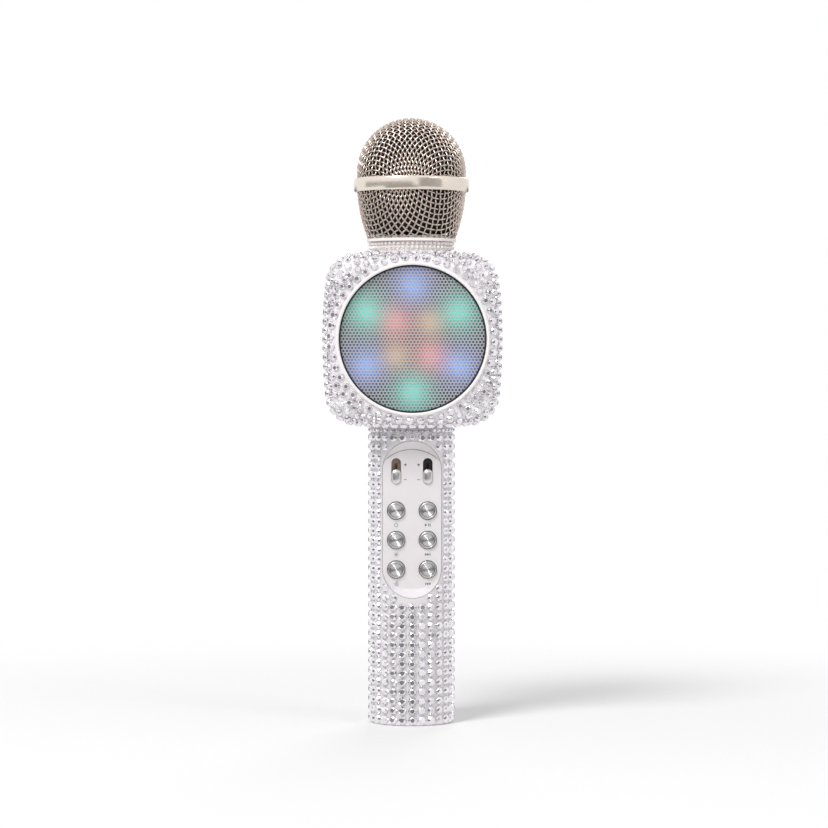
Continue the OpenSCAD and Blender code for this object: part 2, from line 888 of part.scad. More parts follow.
module card_reader() {
    color("silver")
        translate([0, port_board_y + board_t, port_mouth])
            difference() {
                block([-card_w / 2, 0, 0], [card_w / 2, card_h, card_len]);
                block(
                    [card_wall - card_w / 2, card_wall, -overcut],
                    [card_w / 2 - card_wall, card_h - card_wall, card_len - card_wall]
                );
            }
}

module charge_light_pipe() {
    color("mistyrose")
        translate([light_x, light_y, 0])
            pillar(port_mouth, port_mouth + light_len, light_r);
}

// Handle

module handle_tube() {
    color("whitesmoke")
        difference() {
            union() {
                pillar(cap_t, tube_top, tube_r);
                pillar(tube_top - flange_t, tube_top, tube_r + flange_w);
            }
            pillar(0, tube_top + overcut, tube_in_r);
            plate_y(-tube_d, panel_back + tube_wall + panel_t)
                panel_outline(fit_gap);
        }
}

module handle_stones() {
    color("gainsboro")
        difference() {
            stone_core(cap_chamfer, handle_len - stone_stop, tube_r, handle_rows, handle_columns);
            pillar(0, box_z0, tube_r + glue_gap, $fn = fine_fn);
            plate_y(-tube_d, 0)
                panel_outline(2 * fit_gap);
        }
}

module control_panel() {
    color("white")
        difference() {
            union() {
                intersection() {
                    pillar(0, box_z0, tube_r);
                    plate_y(-tube_d, panel_back)
                        panel_outline(0);
                }
                for (z = post_z)
                    plate_y(floor_y + panel_t / 2, board_y)
                        translate([0, z])
                            circle(post_r);
            }
            panel_scoop();
            for (z = row_z, side = [-1, 1])
                plate_y(-tube_d, panel_back + overcut)
                    translate([side * column_x, z])
                        circle(button_r + run_gap);
            for (side = [-1, 1])
                plate_y(-tube_d, panel_back + overcut)
                    translate([side * column_x, 0])
                        polygon(slot_points(slot_w, slot_len, slot_zc));
            for (z = post_z)
                plate_y(board_y + board_t - post_screw_len - overcut / 2, board_y + overcut)
                    translate([0, z])
                        circle(post_screw_r + screw_gap);
        }
}

// The hollow above the panel's floor, with sloped ends
module panel_scoop() {
    side = panel_w / 2 + scoop_side;
    grow = panel_slope * (1 + scoop_lift / (tube_r + floor_y));
    hull() {
        plate_y(floor_y - scoop_lift / 10, floor_y)
            polygon(panel_points(side, panel_end_r, panel_corner_r));
        plate_y(-tube_r - scoop_lift, -tube_r - scoop_lift + scoop_lift / 10)
            polygon(panel_points(side + grow, panel_end_r + grow, panel_corner_r + grow));
    }
}

module main_board() {
    color("darkgreen")
        difference() {
            block(
                [-main_board_w / 2, board_y, main_board_z0],
                [main_board_w / 2, board_y + board_t, main_board_z1]
            );
            for (z = post_z)
                plate_y(board_y - overcut, board_y + board_t + overcut)
                    translate([0, z])
                        circle(post_screw_r + screw_gap);
        }
}

module board_screws() {
    color("silver")
        for (z = post_z)
            translate([0, board_y + board_t, z])
                rotate([90, 0, 0])
                    rotate_extrude()
                        polygon([
                            [0, -post_screw_head_h],
                            [post_screw_head_r, -post_screw_head_h],
                            [post_screw_head_r, 0],
                            [post_screw_r, 0],
                            [post_screw_r, post_screw_len],
                            [0, post_screw_len]
                        ]);
}

// One push button: dished cap, retaining flange and plunger
module button(side, row) {
    front = floor_y - button_proud;
    dish_r = button_r - button_rim;
    color("silver")
        translate([side * column_x, 0, row_z[row]])
            rotate([90, 0, 0])
                rotate_extrude()
                    polygon([
                        [0, -front - button_dish],
                        [dish_r, -front - button_dish],
                        [dish_r, -front],
                        [button_r - button_chamfer, -front],
                        [button_r, -front - button_chamfer],
                        [button_r, -flange_y],
                        [button_r + button_flange_w, -flange_y],
                        [button_r + button_flange_w, -flange_y - button_flange_t],
                        [plunger_r, -flange_y - button_flange_t],
                        [plunger_r, -switch_y - plunger_reach],
                        [0, -switch_y - plunger_reach]
                    ]);
}

module power_button() button(-1, 2);
module play_button() button(1, 2);
module light_button() button(-1, 1);
module next_button() button(1, 1);
module echo_button() button(-1, 0);
module previous_button() button(1, 0);

module button_switches() {
    color("dimgray")
        for (z = row_z, side = [-1, 1])
            translate([side * column_x, 0, z])
                difference() {
                    block(
                        [-switch_size / 2, switch_y, -switch_size / 2],
                        [switch_size / 2, board_y, switch_size / 2]
                    );
                    plate_y(switch_y - overcut, switch_y + plunger_reach + button_travel + run_gap)
                        circle(plunger_r + run_gap);
                }
}

// One slider: domed knob, skirt behind the panel and lever into the potentiometer
module slider(side) {
    front = floor_y - knob_proud;
    color("silver")
        translate([side * column_x, 0, 0]) {
            plate_y(front + knob_dome, flange_y + knob_skirt_t / 2)
                polygon(slot_points(knob_w, knob_len, knob_z));
            hull() {
                plate_y(front + knob_dome, front + knob_dome + 0.1)
                    polygon(slot_points(knob_w, knob_len, knob_z));
                plate_y(front, front + 0.1)
                    polygon(slot_points(knob_w - 2 * knob_dome, knob_len - 2 * knob_dome, knob_z));
            }
            plate_y(flange_y, flange_y + knob_skirt_t)
                polygon(slot_points(knob_w + 2 * knob_skirt_w, knob_len + 2 * knob_skirt_w, knob_z));
            block(
                [-lever_w / 2, flange_y, knob_z - lever_len / 2],
                [lever_w / 2, pot_y + lever_reach, knob_z + lever_len / 2]
            );
        }
}

module voice_slider() slider(-1);
module music_slider() slider(1);

// One slide potentiometer on the main board
module slide_pot(side) {
    lever_run = lever_len + knob_travel + 2 * run_gap;
    translate([side * column_x, 0, slot_zc])
        difference() {
            block([-pot_w / 2, pot_y, -pot_len / 2], [pot_w / 2, board_y, pot_len / 2]);
            block(
                [-lever_w / 2 - run_gap, pot_y - overcut, -lever_run / 2],
                [lever_w / 2 + run_gap, pot_y + lever_reach + run_gap, lever_run / 2]
            );
        }
}

module voice_slide_pot() {
    color("peru")
        slide_pot(-1);
}

module music_slide_pot() {
    color("black")
        slide_pot(1);
}

module battery_cell() {
    color("steelblue")
        translate([0, cell_y, 0])
            pillar(cell_z0, cell_z1, cell_r);
}

module battery_cradle() {
    rail_x = cell_r + rail_gap;
    color("dimgray")
        difference() {
            union() {
                saddle(cradle_z0, cell_z0 + saddle_grip);
                saddle(cell_z1 - saddle_grip, cradle_z1);
                for (side = [0, 1])
                    mirror([side, 0, 0])
                        block(
                            [rail_x, cell_y - rail_h / 2, cradle_z0],
                            [rail_x + rail_w, cell_y + rail_h / 2, cradle_z1]
                        );
            }
            translate([0, cell_y, 0])
                pillar(cell_z0 - contact_t, cell_z1 + contact_t, cell_r + run_gap);
        }
}

// One end of the battery cradle, open towards the main board
module saddle(z0, z1) {
    intersection() {
        pillar(z0, z1, cradle_r);
        block([-tube_d, saddle_front, z0], [tube_d, tube_d, z1]);
    }
}

module battery_contacts() {
    color("gold")
        translate([0, cell_y, 0]) {
            pillar(cell_z0 - contact_t, cell_z0, cell_r / 2);
            pillar(cell_z1, cell_z1 + contact_t, cell_r / 2);
        }
}

// Speaker box

module front_shell() {
    color("whitesmoke")
        difference() {
            union() {
                difference() {
                    half_box(0, 0);
                    half_box(-box_wall, overcut);
                }
                plate_y(front_y, frame_y)
                    translate([0, box_zc])
                        circle(pad_r);
                plate_y(front_y + box_wall / 2, 0)
                    at_bosses()
                        circle(boss_r);
                clamp_rings(frame_y + clamp_gap, 0);
            }
            plate_y(front_y - overcut, ledge_y)
                translate([0, box_zc])
                    circle(well_r);
            plate_y(front_y, frame_y + overcut)
                translate([0, box_zc])
                    circle(ledge_in_r);
            plate_y(frame_y - speaker_screw_len - overcut / 2, frame_y + overcut)
                at_speaker_screws()
                    circle(speaker_screw_r + screw_gap);
            plate_y(-screw_bite - overcut, overcut)
                at_bosses()
                    circle(screw_r + screw_gap);
            box_passages();
        }
}

module rear_shell() {
    color("whitesmoke")
        difference() {
            union() {
                mirror([0, 1, 0])
                    difference() {
                        half_box(0, 0);
                        half_box(-box_wall, overcut);
                    }
                plate_y(0, -front_y - box_wall / 2)
                    at_bosses()
                        circle(boss_r);
                clamp_rings(0, box_d);
            }
            plate_y(-overcut, box_d)
                at_bosses()
                    circle(screw_r + 2 * screw_gap);
            plate_y(screw_head_y, box_d)
                at_bosses()
                    circle(screw_head_r + fit_gap);
            box_passages();
        }
}

module shell_screws() {
    head_top = screw_head_y + screw_head_h;
    color("silver")
        difference() {
            union() {
                plate_y(-screw_bite, screw_head_y + screw_head_h / 2)
                    at_bosses()
                        circle(screw_r);
                plate_y(screw_head_y, head_top)
                    at_bosses()
                        circle(screw_head_r);
            }
            plate_y(head_top - cross_depth, head_top + overcut)
                at_bosses()
                    for (turn = [0, 90])
                        rotate(turn)
                            square([cross_len, cross_w], center = true);
        }
}

module front_stones() {
    color("gainsboro")
        difference() {
            half_sheet(true);
            plate_y(-box_d, 0)
                translate([0, box_zc])
                    circle(pad_r + fit_gap);
        }
}

module rear_stones() {
    color("gainsboro")
        difference() {
            mirror([0, 1, 0])
                half_sheet(false);
            plate_y(0, box_d)
                at_bosses()
                    circle(boss_r);
        }
}

module bezel_ring() {
    bevel = 0.5;
    proud = front_y - sheet_t;
    color("snow")
        turn_y()
            polygon([
                [bezel_in_r, -gasket_y],
                [seat_r, -gasket_y],
                [seat_r, -front_y],
                [bezel_out_r, -front_y],
                [bezel_out_r, -proud - bevel],
                [bezel_out_r - bevel, -proud],
                [bezel_in_r + bevel, -proud],
                [bezel_in_r, -proud - bevel]
            ]);
}

module grille_gasket() {
    color("black")
        plate_y(gasket_y, grille_y)
            translate([0, box_zc])
                ring(seat_r, bezel_in_r - gasket_w);
}

// Perforated pan with a folded rim, its holes in a hexagonal pattern
module speaker_grille() {
    reach = bezel_in_r - gasket_w - grille_hole_d;
    rows = floor(reach / (grille_pitch * sqrt(3) / 2));
    color("silver") {
        plate_y(grille_y, grille_y + grille_t)
            translate([0, box_zc])
                difference() {
                    circle(seat_r);
                    for (j = [-rows:rows], i = [-2 * rows:2 * rows]) {
                        p = grille_pitch * [i + (j % 2) / 2, j * sqrt(3) / 2];
                        if (norm(p) < reach)
                            translate(p)
                                circle(grille_hole_d / 2);
                    }
                }
        plate_y(grille_y + grille_t / 2, diffuser_y)
            translate([0, box_zc])
                ring(seat_r, seat_r - rim_w);
    }
}

module light_diffuser() {
    color("ivory") {
        plate_y(diffuser_y, diffuser_y + diffuser_t)
            translate([0, box_zc])
                circle(seat_r);
        plate_y(diffuser_y + diffuser_t / 2, lamp_board_y)
            translate([0, box_zc])
                ring(seat_r, seat_r - rim_w);
    }
}

module lamp_board() {
    color("darkgreen")
        plate_y(lamp_board_y, ledge_y)
            difference() {
                translate([0, box_zc])
                    circle(seat_r);
                at_points(sound_ring)
                    circle(sound_hole_r);
                at_points([[0, 0]])
                    circle(sound_core_r);
            }
}

module lamps() {
    color("lightyellow")
        plate_y(lamp_board_y - lamp_h, lamp_board_y)
            at_points(concat(lamp_ring, lamp_core))
                square(lamp_size, center = true);
}

module speaker_frame() {
    lip_y = frame_y + frame_t;
    color("dimgray")
        difference() {
            turn_y()
                polygon([
                    [speaker_r - frame_lip, -frame_y],
                    [speaker_r, -frame_y],
                    [speaker_r, -lip_y],
                    [speaker_r - frame_lip + 2 * frame_t, -lip_y],
                    [magnet_r, -magnet_y + frame_t],
                    [magnet_r, -magnet_y],
                    [coil_r + 2 * frame_t, -magnet_y],
                    [coil_r + 2 * frame_t, -magnet_y + frame_t],
                    [magnet_r - 2 * frame_t, -magnet_y + frame_t],
                    [speaker_r - frame_lip, -lip_y]
                ]);
            plate_y(frame_y - overcut, lip_y + overcut)
                at_speaker_screws()
                    circle(speaker_screw_r + screw_gap);
        }
}

module speaker_magnet() {
    color("gray")
        difference() {
            plate_y(magnet_y, magnet_y + magnet_len)
                translate([0, box_zc])
                    circle(magnet_r);
            plate_y(magnet_y - overcut, magnet_y + coil_depth)
                translate([0, box_zc])
                    ring(coil_r + coil_gap, coil_r - coil_t - coil_gap);
        }
}

// Paper cone, dust cap and voice coil in one turned piece
module speaker_cone() {
    rim_y = frame_y + cone_front;
    neck_y = rim_y + cone_depth;
    rim_r = speaker_r - frame_lip - fit_gap;
    coil_end = magnet_y + coil_depth - coil_gap;
    color("black")
        turn_y()
            polygon([
                [0, -neck_y + 2 * cone_t],
                [coil_r - coil_t, -neck_y],
                [coil_r, -neck_y],
                [rim_r - cone_t, -rim_y],
                [rim_r, -rim_y],
                [rim_r, -rim_y - cone_t],
                [coil_r, -neck_y - cone_t],
                [coil_r, -coil_end],
                [coil_r - coil_t, -coil_end],
                [coil_r - coil_t, -neck_y - cone_t],
                [0, -neck_y + cone_t]
            ]);
}

module speaker_screws() {
    head_y = frame_y + frame_t;
    color("silver") {
        plate_y(frame_y - speaker_screw_len, head_y + speaker_screw_head_h / 2)
            at_speaker_screws()
                circle(speaker_screw_r);
        plate_y(head_y, head_y + speaker_screw_head_h)
            at_speaker_screws()
                circle(speaker_screw_head_r);
    }
}

// Neck and head

module neck_collar() {
    color("whitesmoke")
        difference() {
            union() {
                pillar(neck_bottom, head_z, neck_r);
                pillar(neck_bottom, neck_bottom + flange_t, neck_r + flange_w);
            }
            pillar(neck_bottom - overcut, head_z + overcut, base_bore_r);
            pillar(head_z - thread_len - fit_gap, head_z + overcut, thread_r + fit_gap);
        }
}

module neck_stones() {
    color("gainsboro")
        difference() {
            stone_core(box_z1 + sheet_t + fit_gap, head_z - fit_gap, neck_r, neck_rows, neck_columns);
            pillar(box_z1, head_z, neck_r + glue_gap, $fn = fine_fn);
        }
}

module head_base_ring() {
    upstand_r = cup_foot_r - mesh_t - fit_gap;
    color("silver")
        rotate_extrude()
            polygon([
                [base_bore_r, head_z - thread_len],
                [thread_r, head_z - thread_len],
                [thread_r, head_z],
                [cup_foot_r + lip_proud, head_z],
                [cup_foot_r + lip_proud, cup_z0],
                [upstand_r, cup_z0],
                [upstand_r, cup_z0 + upstand_h],
                [upstand_r - upstand_t, cup_z0 + upstand_h],
                [upstand_r - upstand_t, cup_z0],
                [base_bore_r, cup_z0]
            ]);
}

// Woven wire cup between the neck and the band
module wire_cup() {
    heights = [for (i = [0:profile_steps]) cup_z0 + (rib_z0 - cup_z0) * i / profile_steps];
    last = len(heights) - 1;
    color("antiquewhite")
        rotate_extrude()
            polygon(concat(
                [for (z = heights) [cup_r(z), z]],
                [for (i = [last:-1:0]) [cup_r(heights[i]) - mesh_t, heights[i]]]
            ));
}

// Band with an inner rib that parts the cup from the dome
module head_band() {
    inner_r = dome_r + run_gap;
    rib_r = dome_r - mesh_t - run_gap;
    color("silver")
        rotate_extrude()
            polygon([
                [rib_r, rib_z0],
                [inner_r, rib_z0],
                [inner_r, band_z0],
                [band_r - band_chamfer, band_z0],
                [band_r, band_z0 + band_chamfer],
                [band_r, band_z1 - band_chamfer],
                [band_r - band_chamfer, band_z1],
                [inner_r, band_z1],
                [inner_r, rib_z1],
                [rib_r, rib_z1]
            ]);
}

module wire_dome() {
    color("antiquewhite")
        difference() {
            translate([0, 0, dome_z])
                sphere(dome_r);
            translate([0, 0, dome_z])
                sphere(dome_r - mesh_t);
            pillar(dome_z - dome_d, rib_z1, dome_d);
        }
}

// Foam liner that follows the inside of the wire head
module windscreen_foam() {
    gap = mesh_t + foam_gap;
    top = dome_z + dome_r - gap;
    foam_steps = 2 * profile_steps;
    rise = [for (i = [0:foam_steps - 1]) foam_z0 + (top - foam_z0) * sin(90 * i / foam_steps)];
    last = len(rise) - 1;
    outer = [for (z = rise) [foam_r(z, gap), z]];
    inner_top = top - foam_t;
    fall = [for (i = [0:foam_steps - 1]) foam_z0 + (inner_top - foam_z0) * sin(90 * i / foam_steps)];
    inner = [for (i = [last:-1:0]) [foam_r(fall[i], gap + foam_t), fall[i]]];
    color("#2a2624")
        rotate_extrude()
            polygon(concat(outer, [[0, top], [0, inner_top]], inner));
}

// Radius of the foam a set distance inside the wire
function foam_r(z, gap) =
    z < dome_z ? min(head_r(z), dome_r) - gap : sqrt(max(0, pow(dome_r - gap, 2) - pow(z - dome_z, 2)));

module capsule_cradle() {
    plug_r = base_bore_r - fit_gap;
    pocket_r = capsule_r + run_gap;
    wall_r = pocket_r + cradle_pocket_wall;
    flange_top = cup_z0 + cradle_flange_t;
    color("dimgray")
        rotate_extrude()
            polygon([
                [lead_hole_r, cup_z0 - cradle_plug_len],
                [plug_r, cup_z0 - cradle_plug_len],
                [plug_r, cup_z0],
                [cradle_flange_r, cup_z0],
                [cradle_flange_r, flange_top],
                [wall_r, flange_top],
                [wall_r, flange_top + cradle_pocket_h],
                [pocket_r, flange_top + cradle_pocket_h],
                [pocket_r, capsule_z],
                [lead_hole_r, capsule_z]
            ]);
}

module microphone_capsule() {
    color("silver")
        pillar(capsule_z, capsule_z + capsule_len, capsule_r);
}

// Wiring

module microphone_lead() {
    color("gray")
        lead(mic_lead_x, mic_lead_path);
}

module speaker_lead() {
    color("red")
        lead(speaker_lead_x, speaker_lead_path);
}

module battery_lead() {
    color("black")
        lead(battery_lead_x, battery_lead_path);
}

end_cap();
port_board();
audio_jack();
charge_socket();
card_reader();
charge_light_pipe();
handle_tube();
handle_stones();
control_panel();
main_board();
board_screws();
power_button();
previous_button();
play_button();
next_button();
light_button();
echo_button();
button_switches();
voice_slider();
music_slider();
voice_slide_pot();
music_slide_pot();
battery_cell();
battery_cradle();
battery_contacts();
front_shell();
rear_shell();
shell_screws();
front_stones();
rear_stones();
bezel_ring();
grille_gasket();
speaker_grille();
light_diffuser();
lamp_board();
lamps();
speaker_frame();
speaker_magnet();
speaker_cone();
speaker_screws();
neck_collar();
neck_stones();
head_base_ring();
wire_cup();
head_band();
wire_dome();
windscreen_foam();
capsule_cradle();
microphone_capsule();
microphone_lead();
speaker_lead();
battery_lead();
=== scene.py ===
import json
import math

import bpy
import numpy as np
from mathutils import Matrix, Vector


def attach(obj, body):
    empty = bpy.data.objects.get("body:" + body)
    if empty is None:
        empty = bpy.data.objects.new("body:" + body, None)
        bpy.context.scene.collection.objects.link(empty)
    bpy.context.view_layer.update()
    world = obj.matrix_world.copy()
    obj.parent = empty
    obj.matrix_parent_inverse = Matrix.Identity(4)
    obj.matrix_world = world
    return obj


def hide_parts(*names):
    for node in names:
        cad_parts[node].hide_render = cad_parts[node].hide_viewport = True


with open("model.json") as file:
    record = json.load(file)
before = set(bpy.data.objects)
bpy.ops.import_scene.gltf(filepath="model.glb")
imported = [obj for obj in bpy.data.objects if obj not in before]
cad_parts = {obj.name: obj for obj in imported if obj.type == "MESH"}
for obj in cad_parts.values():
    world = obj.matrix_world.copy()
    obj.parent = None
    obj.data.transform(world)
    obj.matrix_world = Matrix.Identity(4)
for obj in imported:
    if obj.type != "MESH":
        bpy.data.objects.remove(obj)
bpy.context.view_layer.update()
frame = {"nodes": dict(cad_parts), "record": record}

MM = 0.001
BODY = "microphone"
chance = np.random.default_rng(7)

# Sizes of the microphone, in millimetres, as in the solids

# Handle, the panel let into it, and the panel's flat floor with a slope below
TUBE_R = 17.2
PANEL_Z = 87.2
PANEL_HALF_LEN = 33.2
PANEL_HALF_W = 12.5
FLOOR_Y = -11.815
FLOOR_TOP = 117.0
FLOOR_END_R = 17.0
# Heights between which the panel's lower slope is painted paler, as painted light
SLOPE_TOP = 58.5
SLOPE_FOOT = 57.0

# Two columns of three buttons, and the sliders above them
COLUMN_X = 6.7
ROW_Z = (65.8, 78.3, 90.8)
SLOT_Z = 107.55
KNOB_Z = 105.3

# Speaker box: a square outline with bowed sides, rounded corners and rounded edges
BOX_Z = 163.5
BOX_PATH = 23.4
BOX_BOW = 1.2
BOX_CORNER = 12.0
BOX_EDGE = 7.0
BOX_HALF_DEPTH = 27.6
BEZEL_R = 32.9
HANDLE_HOLE_R = 18.75
NECK_HOLE_R = 18.55
WELL_AT = 26.66

# Wire head: a flared cup, a band and a dome that is part of a ball
CUP_LOW = 206.3
CUP_HIGH = 228.7
CUP_FOOT_R = 18.75
CUP_FLARE = 4.55
CUP_BULGE = 4.0
BALL_R = 23.3
DOME_Z = 234.8


# Camera


def aim(thing, place, target):
    """Puts a camera or lamp at a place, looking at a target, both in metres."""
    thing.location = place
    thing.rotation_mode = "QUATERNION"
    thing.rotation_quaternion = (Vector(target) - Vector(place)).to_track_quat("-Z", "Y")


def make_camera(azimuth, elevation, reach, target, frame_height):
    """A camera on a ball of radius reach about the target.

    The lens makes frame_height fill the picture at the target.
    """
    data = bpy.data.cameras.new("camera")
    data.sensor_width = 36.0
    data.lens = data.sensor_width * reach / frame_height
    camera = bpy.data.objects.new("camera", data)
    bpy.context.scene.collection.objects.link(camera)
    a, e = math.radians(azimuth), math.radians(elevation)
    back = Vector((math.sin(a) * math.cos(e), -math.cos(a) * math.cos(e), math.sin(e)))
    aim(camera, Vector(target) + reach * back, target)
    bpy.context.scene.camera = camera


make_camera(azimuth=-1.2, elevation=1.0, reach=1.28, target=(0.0011, 0.0, 0.1316), frame_height=0.3544)


# Finishes


class Value:
    """A socket in one finish's node tree; arithmetic on it adds Math nodes to that tree."""

    def __init__(self, tree, socket):
        self.tree = tree
        self.socket = socket

    def node(self, kind, settings, inputs, output=0):
        """Adds a node of any kind: its settings first, then the values or links of its sockets."""
        made = self.tree.nodes.new(kind)
        for key, value in settings.items():
            setattr(made, key, value)
        for key, value in inputs.items():
            if isinstance(value, Value):
                self.tree.links.new(value.socket, made.inputs[key])
            else:
                made.inputs[key].default_value = value
        return Value(self.tree, made.outputs[output])

    def math(self, operation, first, second):
        return self.node("ShaderNodeMath", {"operation": operation}, {0: first, 1: second})

    def __add__(self, other):
        return self.math("ADD", self, other)

    def __radd__(self, other):
        return self.math("ADD", other, self)

    def __mul__(self, other):
        return self.math("MULTIPLY", self, other)

    def __rmul__(self, other):
        return self.math("MULTIPLY", other, self)

    def blend(self, low, high):
        """A colour between two others, by this value."""
        return self.node("ShaderNodeMix", {"data_type": "RGBA"}, {0: self, 6: low, 7: high}, 2)

    def noise(self, scale, detail=2.0):
        return self.node("ShaderNodeTexNoise", {}, {"Vector": self, "Scale": scale, "Detail": detail})

    def bump(self, depth_mm):
        return self.node("ShaderNodeBump", {}, {"Strength": 1.0, "Distance": depth_mm * MM, "Height": self})

    def mark(self, name, output):
        """A value or colour stored in the piece's mesh under a name."""
        return self.node("ShaderNodeAttribute", {"attribute_name": name}, {}, output)


def colour(red, green, blue):
    return (red, green, blue, 1.0)


def finish(name, paint, fixed):
    """A finish: fixed sockets are set on the shader, and paint gives those that change over the surface."""
    material = bpy.data.materials.new(name)
    material.use_nodes = True
    tree = material.node_tree
    shader = tree.nodes["Principled BSDF"]
    for key, value in fixed.items():
        shader.inputs[key].default_value = value
    place = Value(tree, tree.nodes.new("ShaderNodeTexCoord").outputs["Object"])
    for key, value in paint(place).items():
        tree.links.new(value.socket, shader.inputs[key])
    return material


def grained(name, dark, light, rough, grain, depth_mm, cloud=60.0, **fixed):
    """Two shades in soft clouds, with a fine grain that varies the gloss and dents the surface.

    grain and cloud are noise scales, rough is the range of roughness, and fixed names sockets of the shader.
    """

    def paint(place):
        speck = place.noise(grain)
        return {
            "Base Color": place.noise(cloud, 3.0).blend(colour(*dark), colour(*light)),
            "Roughness": rough[0] + (rough[1] - rough[0]) * speck,
            "Normal": speck.bump(depth_mm),
        }

    return finish(name, paint, {key.replace("_", " "): value for key, value in fixed.items()})


def stone_paint(dark, light):
    """Each facet gets a random shade between two, as painted reflection of the light and dark a foil-backed
    stone throws back.
    """

    def paint(place):
        tone = place.mark("tone", 2)
        return {
            "Base Color": tone.blend(colour(*dark), colour(*light)),
            "Roughness": 0.08 + 0.1 * place.noise(900.0),
        }

    return paint


def grille_paint(place):
    """Silver paint with painted light: the light of the lamps behind it is painted on as a glow of its own.
    """
    glow = place.mark("glow", 0)
    shade = place.noise(160.0, 3.0).blend(colour(0.39, 0.39, 0.41), colour(0.45, 0.45, 0.47))
    return {
        "Base Color": shade,
        "Emission Color": glow,
        "Roughness": 0.32 + 0.16 * place.noise(2600.0),
    }


def diffuser_paint(place):
    """Milky sheet lit from behind, brightest over each lamp."""
    glow = place.mark("glow", 0)
    return {
        "Base Color": place.noise(220.0).blend(colour(0.10, 0.10, 0.11), colour(0.14, 0.14, 0.15)),
        "Emission Color": glow,
        "Roughness": 0.45 + 0.1 * place.noise(1500.0),
    }


def foam_paint(place):
    """Open cells: the pits are painted darker than the walls between them, as painted shade."""
    cells = place.node("ShaderNodeTexVoronoi", {"feature": "F1"}, {"Vector": place, "Scale": 900.0})
    # painted shade: darker in the middle of each cell
    return {
        "Base Color": cells.blend(colour(0.012, 0.010, 0.009), colour(0.05, 0.043, 0.038)),
        "Roughness": 0.85 + 0.1 * place.noise(700.0),
        "Normal": cells.bump(0.4),
    }


def panel_paint(place):
    """Satin white, with painted light: the slope at the lower end is painted paler, as if lit from above."""
    height = place.node("ShaderNodeSeparateXYZ", {}, {0: place}, 2)
    # painted light: the lower slope is painted paler than the floor, as if lit from above
    lower = place.node(
        "ShaderNodeMapRange", {"interpolation_type": "SMOOTHSTEP"},
        {"Value": height, "From Min": SLOPE_TOP * MM, "From Max": SLOPE_FOOT * MM},
    )
    speck = place.noise(2400.0)
    satin = place.noise(90.0, 3.0).blend(colour(0.67, 0.64, 0.65), colour(0.73, 0.70, 0.71))
    return {
        "Base Color": lower.blend(satin, colour(0.78, 0.74, 0.77)),
        "Roughness": 0.36 + 0.14 * speck,
        "Normal": speck.bump(0.015),
    }


